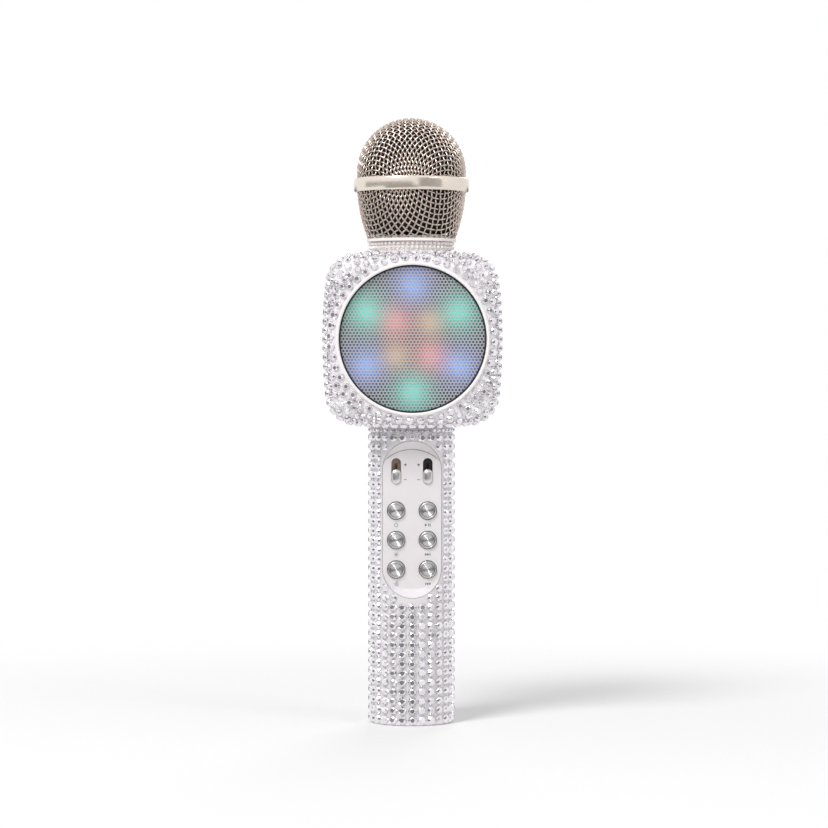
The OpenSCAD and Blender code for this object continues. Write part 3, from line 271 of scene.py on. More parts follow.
FINISHES = {
    "white_plastic": grained(
        "gloss_white", (0.80, 0.79, 0.79), (0.86, 0.85, 0.85), (0.22, 0.32), 1800.0, 0.01, Coat_Weight=0.2
    ),
    "bezel": grained(
        "pearl_white", (0.83, 0.79, 0.80), (0.90, 0.87, 0.88), (0.14, 0.24), 2600.0, 0.01, Coat_Weight=0.5
    ),
    "stones": finish(
        "foil_backed_stones", stone_paint((0.72, 0.69, 0.73), (0.89, 0.86, 0.90)),
        {"Metallic": 0.85, "Coat Weight": 0.3},
    ),
    "circuit_board": grained(
        "green_board", (0.03, 0.15, 0.07), (0.06, 0.24, 0.12), (0.3, 0.45), 700.0, 0.03, cloud=400.0
    ),
    "dark_plastic": grained(
        "black_moulding", (0.012, 0.012, 0.013), (0.03, 0.03, 0.032), (0.4, 0.55), 1500.0, 0.02
    ),
    "tin_plate": grained(
        "tin_plate", (0.66, 0.66, 0.67), (0.76, 0.76, 0.77), (0.25, 0.4), 900.0, 0.01, Metallic=1.0
    ),
    "screw_steel": grained(
        "screw_steel", (0.55, 0.55, 0.57), (0.68, 0.68, 0.70), (0.22, 0.36), 900.0, 0.01, Metallic=1.0
    ),
    "light_pipe": grained("milky_pipe", (0.92, 0.76, 0.74), (0.96, 0.84, 0.82), (0.2, 0.3), 900.0, 0.01),
    "spun_metal": grained(
        "spun_metal", (0.52, 0.51, 0.51), (0.62, 0.61, 0.61), (0.18, 0.28), 1600.0, 0.004, Metallic=1.0
    ),
    "slider_metal": grained(
        "plated_knob", (0.65, 0.64, 0.64), (0.73, 0.72, 0.72), (0.26, 0.36), 900.0, 0.006, Metallic=1.0
    ),
    "tan_plastic": grained(
        "tan_board", (0.27, 0.19, 0.15), (0.37, 0.27, 0.22), (0.5, 0.65), 900.0, 0.03, cloud=300.0
    ),
    "cell_wrap": grained("blue_wrap", (0.08, 0.22, 0.42), (0.14, 0.32, 0.55), (0.25, 0.4), 900.0, 0.02),
    "contact_brass": grained(
        "brass", (0.72, 0.54, 0.22), (0.84, 0.66, 0.30), (0.2, 0.35), 900.0, 0.01, Metallic=1.0
    ),
    "black_rubber": grained(
        "black_rubber", (0.008, 0.008, 0.008), (0.018, 0.018, 0.018), (0.5, 0.7), 1500.0, 0.02
    ),
    # painted light: the grille glows in the lamps' colours
    "grille_metal": finish("lit_grille", grille_paint, {"Metallic": 0.4, "Emission Strength": 0.45}),
    "diffuser": finish("lit_diffuser", diffuser_paint, {"Emission Strength": 1.0}),
    "lamp": grained("lamp_lens", (0.90, 0.88, 0.74), (0.96, 0.94, 0.82), (0.12, 0.2), 900.0, 0.01),
    "magnet": grained("ferrite", (0.10, 0.10, 0.105), (0.2, 0.2, 0.21), (0.4, 0.6), 700.0, 0.04),
    "cone_paper": grained("cone_paper", (0.02, 0.02, 0.02), (0.05, 0.05, 0.05), (0.7, 0.9), 900.0, 0.1),
    "wire": grained(
        "champagne_wire", (0.52, 0.44, 0.39), (0.70, 0.61, 0.55), (0.22, 0.34), 1200.0, 0.01,
        cloud=240.0, Metallic=1.0,
    ),
    "band_metal": grained(
        "champagne_band", (0.74, 0.66, 0.57), (0.83, 0.75, 0.66), (0.16, 0.24), 700.0, 0.004, Metallic=0.7
    ),
    "foam": finish("open_cell_foam", foam_paint, {"Specular IOR Level": 0.2}),
    "lead_grey": grained("grey_lead", (0.24, 0.24, 0.25), (0.34, 0.34, 0.35), (0.45, 0.6), 900.0, 0.02),
    "lead_red": grained("red_lead", (0.45, 0.04, 0.03), (0.58, 0.07, 0.05), (0.4, 0.55), 900.0, 0.02),
    "lead_black": grained("black_lead", (0.02, 0.02, 0.02), (0.05, 0.05, 0.05), (0.4, 0.55), 900.0, 0.02),
}
# One backing in two copies. Painted light: the box's shells take the paler copy
LIT_SHELL_FINISH = grained(
    "backing_painted_paler", (0.74, 0.72, 0.73), (0.84, 0.82, 0.83), (0.3, 0.42), 1800.0, 0.01, cloud=300.0
)
# Painted shade: the handle's tube takes the darker copy, for shade between its stones and under the box
SHADED_BACKING_FINISH = grained(
    "backing_painted_darker", (0.64, 0.62, 0.63), (0.74, 0.72, 0.73), (0.3, 0.42), 1800.0, 0.01, cloud=300.0
)
LIP_FINISH = grained("cream_lip", (0.84, 0.79, 0.77), (0.91, 0.86, 0.84), (0.3, 0.4), 2600.0, 0.01)
PANEL_FINISH = finish("satin_panel", panel_paint, {})
# painted shadow: the grey of the line drawn along the top of the panel's floor
SEAM_SHADOW_FINISH = grained(
    "seam_shade", (0.34, 0.32, 0.31), (0.42, 0.40, 0.39), (0.5, 0.6), 2400.0, 0.004, cloud=500.0
)
# The neck's stones: the stones' finish made paler and less metallic, as painted light where the head above
# shades them
NECK_PAINTED_LIGHT_FINISH = finish(
    "stones_with_painted_light", stone_paint((0.90, 0.85, 0.83), (0.97, 0.94, 0.93)),
    {"Metallic": 0.15, "Coat Weight": 0.4},
)
MARK_FINISH = grained(
    "printed_marks", (0.12, 0.11, 0.11), (0.2, 0.19, 0.19), (0.5, 0.6), 2400.0, 0.004, cloud=500.0
)

for part in frame["record"]["subparts"]:
    node = frame["nodes"][part["node"]]
    node.data.materials.clear()
    node.data.materials.append(FINISHES[part["material_slot"]])
for node, coat in (
    ("control_panel", PANEL_FINISH), ("front_shell", LIT_SHELL_FINISH), ("rear_shell", LIT_SHELL_FINISH),
    ("handle_tube", SHADED_BACKING_FINISH), ("neck_collar", LIP_FINISH), ("head_base_ring", LIP_FINISH),
):
    frame["nodes"][node].data.materials[0] = coat


# Mesh helpers


def put(name, points, faces, slot, body=BODY, stands_for=(), smooth=True, coat=None, **marks):
    """Lays points in millimetres and faces into a piece that rides on a body.

    A coat stands in for the slot's own finish, and marks are values kept in the mesh for the finish.
    """
    mesh = bpy.data.meshes.new(name)
    mesh.from_pydata((np.asarray(points).reshape(-1, 3) * MM).tolist(), [], faces)
    mesh.polygons.foreach_set("use_smooth", np.full(len(mesh.polygons), smooth))
    for mark, values in marks.items():
        if values.ndim == 1:
            mesh.attributes.new(mark, "FLOAT", "FACE").data.foreach_set("value", values)
        else:
            mesh.attributes.new(mark, "FLOAT_COLOR", "POINT").data.foreach_set("color", values.ravel())
    mesh.materials.append(coat or FINISHES[slot])
    piece = bpy.data.objects.new(name, mesh)
    bpy.context.scene.collection.objects.link(piece)
    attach(piece, body)
    if stands_for:
        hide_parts(*stands_for)
    return piece


def grid_faces(rows, columns, wrap_rows=False, wrap_columns=False):
    """Quads between neighbouring points of a grid; a wrapped side joins its last line to its first."""
    r = np.arange(rows if wrap_rows else rows - 1)[:, None]
    c = np.arange(columns if wrap_columns else columns - 1)[None, :]
    up, right = (r + 1) % rows, (c + 1) % columns
    corners = [r * columns + c, r * columns + right, up * columns + right, up * columns + c]
    return np.stack(np.broadcast_arrays(*corners), -1).reshape(-1, 4)


def turned_front(profile, sides, x0, z0):
    """A closed profile of (radius, y) turned about the line through (x0, z0) that runs along y."""
    profile = np.asarray(profile)
    a = np.arange(sides) * 2 * math.pi / sides
    radius, depth = profile[:, :1], profile[:, 1:]
    points = np.stack(
        np.broadcast_arrays(x0 + radius * np.cos(a), depth, z0 + radius * np.sin(a)), -1
    )
    return points, grid_faces(len(profile), sides, True, True)


def turned_up(profile, sides):
    """A closed profile of (radius, z) turned about the microphone's own axis."""
    profile = np.asarray(profile)
    a = np.arange(sides) * 2 * math.pi / sides
    radius, height = profile[:, :1], profile[:, 1:]
    points = np.stack(np.broadcast_arrays(radius * np.cos(a), radius * np.sin(a), height), -1)
    return points, grid_faces(len(profile), sides, True, True)


def joined(parts):
    """Several (points, faces) as one: each part's faces count on from the points before it."""
    points, faces, start = [], [], 0
    for spots, sides in parts:
        points.append(spots)
        faces += [[v + start for v in side] for side in sides]
        start += len(spots)
    return np.concatenate(points), faces


def unit(v):
    """Vectors at length 1."""
    return v / np.linalg.norm(v, axis=-1, keepdims=True)


# Stones

STONE_SIDES = 8
STONE_R = 1.93
SMALL_R = 1.4
STONE_TOP = 1.3
STONE_GAP = 0.25
EDGE_GAP = 0.03
TURN_SPREAD = 0.06
LEAN_SPREAD = 0.012
# Each ring from foot to table: radius, level as a share of the height, turn as a share of a side
STONE_RINGS = ((0.96, -0.1, 0.0), (1.0, 0.17, 0.0), (0.77, 0.66, 0.5), (0.5, 1.0, 0.0))


def stone_shape(height):
    """One flat-backed stone of radius 1: rings at foot, girdle, crown (turned half a side) and table."""
    a = np.arange(STONE_SIDES) * 2 * math.pi / STONE_SIDES
    points = []
    for radius, level, turn in STONE_RINGS:
        b = a + turn * 2 * math.pi / STONE_SIDES
        points.append(np.stack([radius * np.cos(b), radius * np.sin(b), np.full_like(b, level * height)], 1))
    k = np.arange(STONE_SIDES)
    n = (k + 1) % STONE_SIDES
    foot, girdle, crown, table = [k + STONE_SIDES * ring for ring in range(4)]
    foot_n, girdle_n, crown_n, table_n = [n + STONE_SIDES * ring for ring in range(4)]
    faces = [
        np.stack([foot, foot_n, girdle_n, girdle], 1),
        np.stack([girdle, girdle_n, crown], 1),
        np.stack([crown, girdle_n, crown_n], 1),
        np.stack([crown, table_n, table], 1),
        np.stack([crown, crown_n, table_n], 1),
        table[None],
        foot[None, ::-1],
    ]
    return np.concatenate(points), faces


def set_stones(name, centre, normal, along, radius, height, node, coat=None):
    """One stone per centre, its foot on the skin: radius across the skin, height along the normal."""
    count = len(centre)
    turn = chance.normal(0, TURN_SPREAD, (count, 1))
    normal = unit(normal + chance.normal(0, LEAN_SPREAD, (count, 3)))
    along = unit(along - normal * np.sum(along * normal, -1, keepdims=True))
    across = np.cross(normal, along)
    first = np.cos(turn) * along + np.sin(turn) * across
    second = np.cross(normal, first)
    shape, faces = stone_shape(height)
    wide = np.broadcast_to(np.asarray(radius, float).reshape(-1, 1, 1), (count, 1, 1))
    points = (
        centre[:, None]
        + wide * shape[None, :, :1] * first[:, None]
        + wide * shape[None, :, 1:2] * second[:, None]
        + shape[None, :, 2:] * normal[:, None]
    )
    start = (np.arange(count) * len(shape))[:, None, None]
    lists = [(face[None] + start).reshape(-1, face.shape[1]).tolist() for face in faces]
    flat = sum(lists, [])
    # painted reflection: a random shade for each facet, standing in for the stones' sparkle
    tone = chance.uniform(0.0, 1.0, len(flat))
    put(name, points, flat, "stones", stands_for=(node,), smooth=False, coat=coat, tone=tone)


HANDLE_ROWS = 31
HANDLE_COLUMNS = 26
HANDLE_LOW = 0.3
HANDLE_HIGH = 123.8
PANEL_GAP = 0.3
STONE_ROOM = 1.5
LEAST_ROOM = -0.3
SHRINK = 0.4
HEIGHT_SPREAD = 0.04
BEARING_SPREAD = 0.003
TOP_ROW_STONES = 46
TOP_ROW_Z = 124.9
TOP_ROW_R = 1.12
NECK_COLUMNS = 56
NECK_ROWS_Z = (202.475, 204.125)
NECK_R = 17.1
NECK_STONE_R = 0.82
NECK_STONE_TOP = 1.2


def on_tube(radius, a, z):
    """Points on an upright tube at bearings a and heights z, their normals, and the way up."""
    normal = np.stack([np.sin(a), -np.cos(a), 0 * a], 1)
    centre = normal * radius + np.stack([0 * z, 0 * z, z], 1)
    return centre, normal, np.tile([0.0, 0.0, 1.0], (len(z), 1))


def handle_stones():
    """Straight rows and columns round the tube, none where the panel lies, and a fine row at the top.

    A stone that only just meets the panel's round end is smaller and stands a little further from it.
    """
    z = HANDLE_LOW + (np.arange(HANDLE_ROWS) + 0.5) * (HANDLE_HIGH - HANDLE_LOW) / HANDLE_ROWS
    a = np.arange(HANDLE_COLUMNS) * 2 * math.pi / HANDLE_COLUMNS
    z, a = [g.ravel() for g in np.meshgrid(z, a, indexing="ij")]
    past_end = np.maximum(0, np.abs(z - PANEL_Z) - (PANEL_HALF_LEN - PANEL_HALF_W))
    reach = np.hypot(TUBE_R * np.sin(a), past_end)
    room = np.where(np.cos(a) < 0, 1.0, (reach - PANEL_HALF_W - PANEL_GAP) / STONE_ROOM - np.cos(a))
    keep = room > LEAST_ROOM
    small = (room < 0)[keep]
    z = (z + chance.normal(0, HEIGHT_SPREAD, z.shape))[keep] + np.where(small, SHRINK, 0.0)
    a = (a + chance.normal(0, BEARING_SPREAD, a.shape))[keep]
    radius = np.where(small, STONE_R - SHRINK, STONE_R)
    z = np.append(z, np.full(TOP_ROW_STONES, TOP_ROW_Z))
    a = np.append(a, np.arange(TOP_ROW_STONES) * 2 * math.pi / TOP_ROW_STONES)
    radius = np.append(radius, np.full(TOP_ROW_STONES, TOP_ROW_R))
    set_stones("handle_stone_rows", *on_tube(TUBE_R, a, z), radius, STONE_TOP, "handle_stones")


def neck_stones():
    """Two fine rows round the neck."""
    a = np.tile(np.arange(NECK_COLUMNS) * 2 * math.pi / NECK_COLUMNS, len(NECK_ROWS_Z))
    place = on_tube(NECK_R, a, np.repeat(NECK_ROWS_Z, NECK_COLUMNS))
    set_stones("neck_stone_rows", *place, NECK_STONE_R, NECK_STONE_TOP, "neck_stones", NECK_PAINTED_LIGHT_FINISH)


# The box's skin is counted in columns of stones round its outline and in lengths from its parting plane
SIDE_LEN = BOX_HALF_DEPTH - BOX_EDGE
ARC_LEN = BOX_EDGE * math.pi / 2
FLAT_IN = BOX_CORNER - BOX_EDGE
SIDE_COLUMNS = 13
CORNER_COLUMNS = 4
QUARTER = SIDE_COLUMNS + CORNER_COLUMNS
BOX_ROWS = 9
ROW_STEP = (SIDE_LEN + ARC_LEN + FLAT_IN) / BOX_ROWS
SIDE_ROWS = 6
LAST_SIDE = (SIDE_ROWS - 0.5) * ROW_STEP


def outline_at(u):
    """Place on the box's outline after u columns: the centre of its corner radius and the angle it faces."""
    quarter = np.floor(u / QUARTER)
    v = u - quarter * QUARTER
    t = np.minimum(1, 2 * v / SIDE_COLUMNS - 1)
    part = np.maximum(0, (v - SIDE_COLUMNS) / CORNER_COLUMNS)
    lean = np.arctan2(2 * BOX_BOW * t, BOX_PATH)
    turn = quarter * math.pi / 2
    out, along = BOX_PATH + BOX_BOW * (1 - t * t), BOX_PATH * t
    c, s = np.cos(turn), np.sin(turn)
    centre = np.stack([out * c - along * s, out * s + along * c], -1)
    last = math.pi / 2 - math.atan2(2 * BOX_BOW, BOX_PATH)
    return centre, lean + (last - lean) * part + turn


def box_skin(centre, angle, s, front):
    """Point and normal at a length s from the parting plane: along the side, the rounded edge, the face."""
    lean = np.clip((s - SIDE_LEN) / BOX_EDGE, 0, math.pi / 2)
    out = FLAT_IN + BOX_EDGE * np.cos(lean) - np.maximum(0, s - SIDE_LEN - ARC_LEN)
    depth = np.minimum(s, SIDE_LEN) + BOX_EDGE * np.sin(lean)
    ways = np.stack([np.cos(angle), np.sin(angle)], -1)
    flat = centre + out[..., None] * ways
    sign = -1.0 if front else 1.0
    point = np.stack([flat[..., 0], sign * depth, BOX_Z + flat[..., 1]], -1)
    normal = np.stack([np.cos(lean) * ways[..., 0], sign * np.sin(lean), np.cos(lean) * ways[..., 1]], -1)
    return point, normal


def box_row(u, s, front):
    """Stones at places u on the outline, lengths s from the parting plane: points, normals, directions."""
    centre, angle = outline_at(u)
    point, normal = box_skin(centre, angle, np.broadcast_to(s, u.shape), front)
    return point, normal, np.stack([-np.sin(angle), 0 * u, np.cos(angle)], -1)


def side_rows(front):
    """Straight rows round the sides, one stone to a column."""
    u = np.arange(4 * QUARTER) + 0.5
    return [box_row(u, (row + 0.5) * ROW_STEP, front) for row in range(SIDE_ROWS)]


PASSAGE_LEVEL = 30.0
PASSAGE_MARGIN = 1.8


def clear_of_passages(point):
    """True away from the holes where the handle and the neck enter the box."""
    reach = np.hypot(point[:, 0], point[:, 1])
    below = (point[:, 2] < BOX_Z - PASSAGE_LEVEL) & (reach < HANDLE_HOLE_R + PASSAGE_MARGIN)
    above = (point[:, 2] > BOX_Z + PASSAGE_LEVEL) & (reach < NECK_HOLE_R + PASSAGE_MARGIN)
    return ~(below | above)


BEZEL_ROW_R = 34.35
BEZEL_STONES = 48
BEZEL_START = 5.4
BEZEL_SAMPLES = 4000
CORNER_PITCH = 4.4
CORNER_STEP = 3.3
CORNER_REACH = 60
CORNER_SAMPLES = 600
SIDE_CLEAR = 2.5
# Levels above the bezel's row and first places of the corner rows, and the levels tried after them
MAIN_LEVELS = ((1, 0.0), (2, 0.5), (3, 0.0))
EXTRA_LEVELS = (0.9, 1.3, 1.7, 2.1, 2.5, 2.9)
EXTRA_PITCH = 0.5
# Smallest stone that fills a gap, and the grid of places that is searched for gaps
FILL_R = 0.75
FILL_END = 36.0
FILL_STEP_U = 0.1
FILL_STEP_S = 0.4
# Rows on the rear edge with their places round a corner, and the room kept round the screw wells
REAR_ROWS = ((6, [0.5, 1.5, 2.5, 3.5]), (7, [1.0, 3.0]), (8, [2.0]))
WELL_ROOM = 5.7
WELL_FRONT = 18.0


def bezel_line(u):
    """Length s at which the section at each place u meets a circle round the bezel."""
    centre, angle = outline_at(u)
    ways = np.stack([np.cos(angle), np.sin(angle)], 1)
    dot = np.sum(centre * ways, 1)
    out = -dot + np.sqrt(dot**2 - np.sum(centre**2, 1) + BEZEL_ROW_R**2)
    lean = np.arccos(np.clip((out - FLAT_IN) / BOX_EDGE, 0, 1))
    return SIDE_LEN + BOX_EDGE * lean + np.maximum(0, FLAT_IN - out)


def bezel_row():
    """Even bearings round the bezel."""
    u = np.linspace(0, 4 * QUARTER, BEZEL_SAMPLES)
    point, _, _ = box_row(u, bezel_line(u), True)
    bearing = np.unwrap(np.arctan2(point[:, 2] - BOX_Z, point[:, 0]))
    wanted = np.radians(BEZEL_START + np.arange(-BEZEL_STONES, 2 * BEZEL_STONES) * 360 / BEZEL_STONES)
    wanted = wanted[(wanted >= bearing[0]) & (wanted < bearing[0] + 2 * math.pi)]
    at = np.interp(wanted, bearing, u)
    return box_row(at, bezel_line(at), True)


def corner_row(quarter, level, pitch, start):
    """One row in a corner of the front, level steps out from the bezel's row, even from the diagonal."""
    middle = quarter * QUARTER + SIDE_COLUMNS + CORNER_COLUMNS / 2
    u = middle + np.linspace(-QUARTER / 2, QUARTER / 2, CORNER_SAMPLES)
    s = bezel_line(u) - level * CORNER_STEP
    line, _, _ = box_row(u, s, True)
    run = np.append(0, np.cumsum(np.linalg.norm(np.diff(line, axis=0), axis=1)))
    offset = (np.arange(-CORNER_REACH, CORNER_REACH + 1) + start) * pitch
    offset = offset[np.argsort(np.abs(offset), kind="stable")]
    at = np.interp(np.interp(middle, u, run) + offset, run, u)
    at_s = bezel_line(at) - level * CORNER_STEP
    free = (at_s > LAST_SIDE + SIDE_CLEAR) & (np.abs(at - middle) < QUARTER / 2 - 0.01)
    return box_row(at[free], at_s[free], True)


def join_rows(rows):
    """Rows of stones one after the other; a stone that would touch an earlier one is left out."""
    point, normal, along = [np.concatenate(values) for values in zip(*rows)]
    kept = clear_of_passages(point)
    for i in np.flatnonzero(kept):
        kept[i] = np.all(np.linalg.norm(point[:i][kept[:i]] - point[i], axis=1) > 2 * SMALL_R + STONE_GAP)
    return point[kept], normal[kept], along[kept]


def fitted_radius(point):
    """Half the distance to the nearest other stone, between the smallest and the usual size of stone."""
    apart = np.linalg.norm(point[:, None] - point[None], axis=-1)
    np.fill_diagonal(apart, np.inf)
    return np.clip(apart.min(1) / 2 - EDGE_GAP, SMALL_R, STONE_R)


def fill_gaps(point, normal, along, radius):
    """Adds small stones to the front, each in turn where the most room is left between stones and bezel."""
    u = np.arange(0, 4 * QUARTER, FILL_STEP_U)
    s = np.arange(LAST_SIDE, FILL_END, FILL_STEP_S)
    spot, way, run = box_row(*[g.ravel() for g in np.meshgrid(u, s)], True)
    free = clear_of_passages(spot)
    spot, way, run = spot[free], way[free], run[free]
    room = np.hypot(spot[:, 0], spot[:, 2] - BOX_Z) - BEZEL_R
    for stone, size in zip(point, radius):
        room = np.minimum(room, np.linalg.norm(spot - stone, axis=1) - size)
    chosen, sizes = [], []
    while room.max() > FILL_R:
        best = np.argmax(room)
        size = min(room[best], SMALL_R)
        chosen.append(best)
        sizes.append(size)
        room = np.minimum(room, np.linalg.norm(spot - spot[best], axis=1) - size)
    parts = ((point, spot[chosen]), (normal, way[chosen]), (along, run[chosen]), (radius, sizes))
    return [np.concatenate(pair) for pair in parts]


def front_stones():
    """A row round the bezel, rows round the sides, bowed rows in the corners between, then small stones."""
    rows = [bezel_row()] + side_rows(True)
    for level, start in MAIN_LEVELS:
        rows += [corner_row(quarter, level, CORNER_PITCH, start) for quarter in range(4)]
    for level in EXTRA_LEVELS:
        rows += [corner_row(quarter, level, EXTRA_PITCH, 0.0) for quarter in range(4)]
    point, normal, along = join_rows(rows)
    point, normal, along, radius = fill_gaps(point, normal, along, fitted_radius(point))
    set_stones("front_stone_rows", point, normal, along, radius, STONE_TOP, "front_stones")


def rear_stones():
    """Rows round the sides and rounded edge, then a straight grid on the back, clear of the screw wells."""
    rows = side_rows(False)
    first = np.arange(4)[:, None] * QUARTER
    side = np.arange(SIDE_COLUMNS) + 0.5
    for row, turn in REAR_ROWS:
        u = (first + np.append(side, SIDE_COLUMNS + np.array(turn))).ravel()
        rows.append(box_row(u, (row + 0.5) * ROW_STEP, False))
    t = (2 * np.arange(SIDE_COLUMNS) + 1) / SIDE_COLUMNS - 1
    tx, tz = [g.ravel() for g in np.meshgrid(t, t)]
    x, z = [a * (BOX_PATH + BOX_BOW * (1 - b * b)) for a, b in ((tx, tz), (tz, tx))]
    flat = np.ones((len(x), 1))
    back = np.stack([x, np.full_like(x, BOX_HALF_DEPTH), BOX_Z + z], 1)
    rows.append((back, flat * [0.0, 1.0, 0.0], flat * [0.0, 0.0, 1.0]))
    point, normal, along = join_rows(rows)
    well = np.hypot(np.abs(point[:, 0]) - WELL_AT, np.abs(point[:, 2] - BOX_Z) - WELL_AT)
    keep = (well > WELL_ROOM) | (point[:, 1] < WELL_FRONT)
    radius = fitted_radius(point)[keep]
    set_stones("rear_stone_rows", point[keep], normal[keep], along[keep], radius, STONE_TOP, "rear_stones")


handle_stones()
neck_stones()
front_stones()
rear_stones()


# Woven wire head

WIRE_R = 0.37
WAVE = 0.31
KNOTS = 20
KNOT_PITCH = 2.15
WIRE_STEPS = 4
WIRE_SIDES = 6
CLOTH_TOP = 229.0
CLOTH_RANGE = (200.0, 231.0)


def cloth_on_ball():
    """Directions from a ball's centre to the knots of a square cloth laid over it.

    Two rows run straight from the top knot. Every other knot is the knot one place back on both rows,
    mirrored in the plane through the ball's centre and the two knots between, so each side keeps its length.
    """
    turn = np.arange(KNOTS) * 2 * math.asin(KNOT_PITCH / (2 * BALL_R))
    net = np.zeros((KNOTS, KNOTS, 3))
    net[:, 0] = np.stack([np.sin(turn), 0 * turn, np.cos(turn)], -1)
    net[0, :] = np.stack([0 * turn, np.sin(turn), np.cos(turn)], -1)
    for diagonal in range(2, 2 * KNOTS - 1):
        i = np.arange(max(1, diagonal - KNOTS + 1), min(diagonal, KNOTS))
        j = diagonal - i
        mirror = np.cross(net[i, j - 1], net[i - 1, j])
        mirror /= np.maximum(np.linalg.norm(mirror, axis=-1, keepdims=True), 1e-9)
        back = net[i - 1, j - 1]
        net[i, j] = back - 2 * np.sum(back * mirror, -1, keepdims=True) * mirror
    index = np.arange(1 - KNOTS, KNOTS)
    k, sign = np.abs(index), np.sign(index)
    whole = net[k[:, None], k[None, :]].copy()
    whole[..., 0] *= sign[:, None]
    whole[..., 1] *= sign[None, :]
    return whole


def wire_lines(net, phase):
    """The cloth's rows as fine lines of directions, and each point's height as it goes over and under."""
    part = (np.arange(WIRE_STEPS) / WIRE_STEPS)[None, None, :, None]
    fine = (1 - part) * net[:, :-1, None] + part * net[:, 1:, None]
    fine = np.concatenate([fine.reshape(len(net), -1, 3), net[:, -1:]], 1)
    run = np.arange(fine.shape[1]) / WIRE_STEPS
    height = WAVE * np.cos(math.pi * (run[None] + np.arange(len(net))[:, None] + phase))
    return unit(fine), height


def wire_tubes(points, outward, valid):
    """Round tubes along lines of points: a ring about each point, quads between rings, a cap at each end."""
    tangent = unit(np.gradient(points, axis=1) + 1e-12)
    side = unit(np.cross(tangent, outward))
    up = np.cross(side, tangent)
    a = np.arange(WIRE_SIDES) * 2 * math.pi / WIRE_SIDES
    ring = points[:, :, None] + WIRE_R * (
        np.cos(a)[:, None] * up[:, :, None] + np.sin(a)[:, None] * side[:, :, None]
    )
    lines, samples = valid.shape
    index = np.arange(lines * samples * WIRE_SIDES).reshape(lines, samples, WIRE_SIDES)
    after = np.roll(index, -1, axis=2)
    span = valid[:, :-1] & valid[:, 1:]
    walls = np.stack([index[:, :-1], index[:, 1:], after[:, 1:], after[:, :-1]], -1)[span].reshape(-1, 4)
    edge = np.zeros((lines, 1), bool)
    before, later = np.hstack([edge, span]), np.hstack([span, edge])
    caps = np.concatenate([index[later & ~before], index[before & ~later][:, ::-1]])
    used, walls_at = np.unique(walls, return_inverse=True)
    caps_at = np.searchsorted(used, caps)
    return ring.reshape(-1, 3)[used], walls_at.reshape(walls.shape).tolist() + caps_at.tolist()


def cup_r(z):
    """Outer radius of the wire cup at a height: a straight flare with a slight bulge."""
    t = (z - CUP_LOW) / (CUP_HIGH - CUP_LOW)
    return CUP_FOOT_R + CUP_FLARE * t + CUP_BULGE * t * (1 - t)


def turned_net(net, degrees):
    """The cloth turned about the upright axis."""
    a = math.radians(degrees)
    spin = np.array([[math.cos(a), -math.sin(a), 0], [math.sin(a), math.cos(a), 0], [0, 0, 1]])
    return net @ spin.T


def dome_line(way, height):
    """Points on the dome: the ball's radius less the wire's own reach, along each direction."""
    skin = BALL_R - WIRE_R - WAVE
    return np.array([0, 0, DOME_Z]) + (skin + height)[..., None] * way, way


def cup_line(way, height):
    """The same cloth over the cup: the way down the ball becomes depth, and the cup gives the radius."""
    z = CLOTH_TOP - BALL_R * np.arcsin(np.clip(way[..., 2], -1, 1))
    flat = unit(np.concatenate([way[..., :2], 0 * way[..., 2:]], -1) + 1e-9)
    skin = cup_r(np.clip(z, *CLOTH_RANGE)) - WIRE_R - WAVE
    points = (skin + height)[..., None] * flat
    points[..., 2] = z
    return points, flat


def woven(name, shape, degrees, low, high, node):
    """Both sets of wires, one over where the other is under, kept between two heights."""
    net = turned_net(cloth_on_ball(), degrees)
    tubes = []
    for rows, phase in ((net, 0.0), (net.swapaxes(0, 1), 1.0)):
        line, outward = shape(*wire_lines(rows, phase))
        valid = (line[..., 2] > low) & (line[..., 2] < high)
        tubes.append(wire_tubes(line, outward, valid))
    put(name, *joined(tubes), "wire", stands_for=(node,))


BAND_Z = (226.3, 232.2)
BAND_R = 24.6
BAND_INNER_R = 23.42
BAND_BOW = 0.55
BAND_ROUND = 0.25


def polished_band():
    """The band round the head: a section that bows out between its two edges, turned about the axis."""
    low, high = BAND_Z
    t = np.linspace(-1, 1, 17)
    height = (low + high) / 2 + (high - low) / 2 * np.sin(t * math.pi / 2)
    outer = np.stack([BAND_R - BAND_BOW * t**2 - BAND_ROUND * np.abs(t) ** 8, height], 1)
    points, faces = turned_up(np.vstack([outer, [(BAND_INNER_R, high), (BAND_INNER_R, low)]]), 128)
    put("polished_band", points, faces.tolist(), "band_metal", stands_for=("head_band",))


polished_band()
woven("woven_dome", dome_line, degrees=42.0, low=230.4, high=300.0, node="wire_dome")
woven("woven_cup", cup_line, degrees=32.0, low=205.8, high=228.8, node="wire_cup")

AXIS_R = 0.05
FOAM_GAP = 1.75
FOAM_WALL = 2.2
FOAM_TOP = 256.35
FOAM_ROOF = 254.0


def foam_lining():
    """Foam just inside the wire: the head's own section drawn in, turned, with soft lumps, and hollow."""
    z = np.concatenate([np.linspace(209.0, 227.0, 20), np.linspace(228.0, 256.0, 40)])
    ball = np.sqrt(np.maximum(0.01, BALL_R**2 - (z - DOME_Z) ** 2))
    reach = np.where(z < CUP_HIGH, cup_r(z), ball)
    outer = np.stack([np.maximum(AXIS_R, reach - FOAM_GAP), z], 1)
    outer = np.vstack([outer, [AXIS_R, FOAM_TOP]])
    inner = np.maximum(AXIS_R, outer[:, 0] - FOAM_WALL)
    inner = np.stack([inner, np.minimum(outer[:, 1], FOAM_ROOF)], 1)[::-1]
    points, faces = turned_up(np.vstack([outer, inner]), 72)
    lump = 0.08 * np.sin(7 * np.arctan2(points[..., 1], points[..., 0]) + 0.9 * points[..., 2])
    points[..., :2] *= (1 - np.abs(lump) / 20)[..., None]
    piece = put("foam_lining", points, faces.tolist(), "foam", stands_for=("windscreen_foam",))


foam_lining()


# Lit speaker front

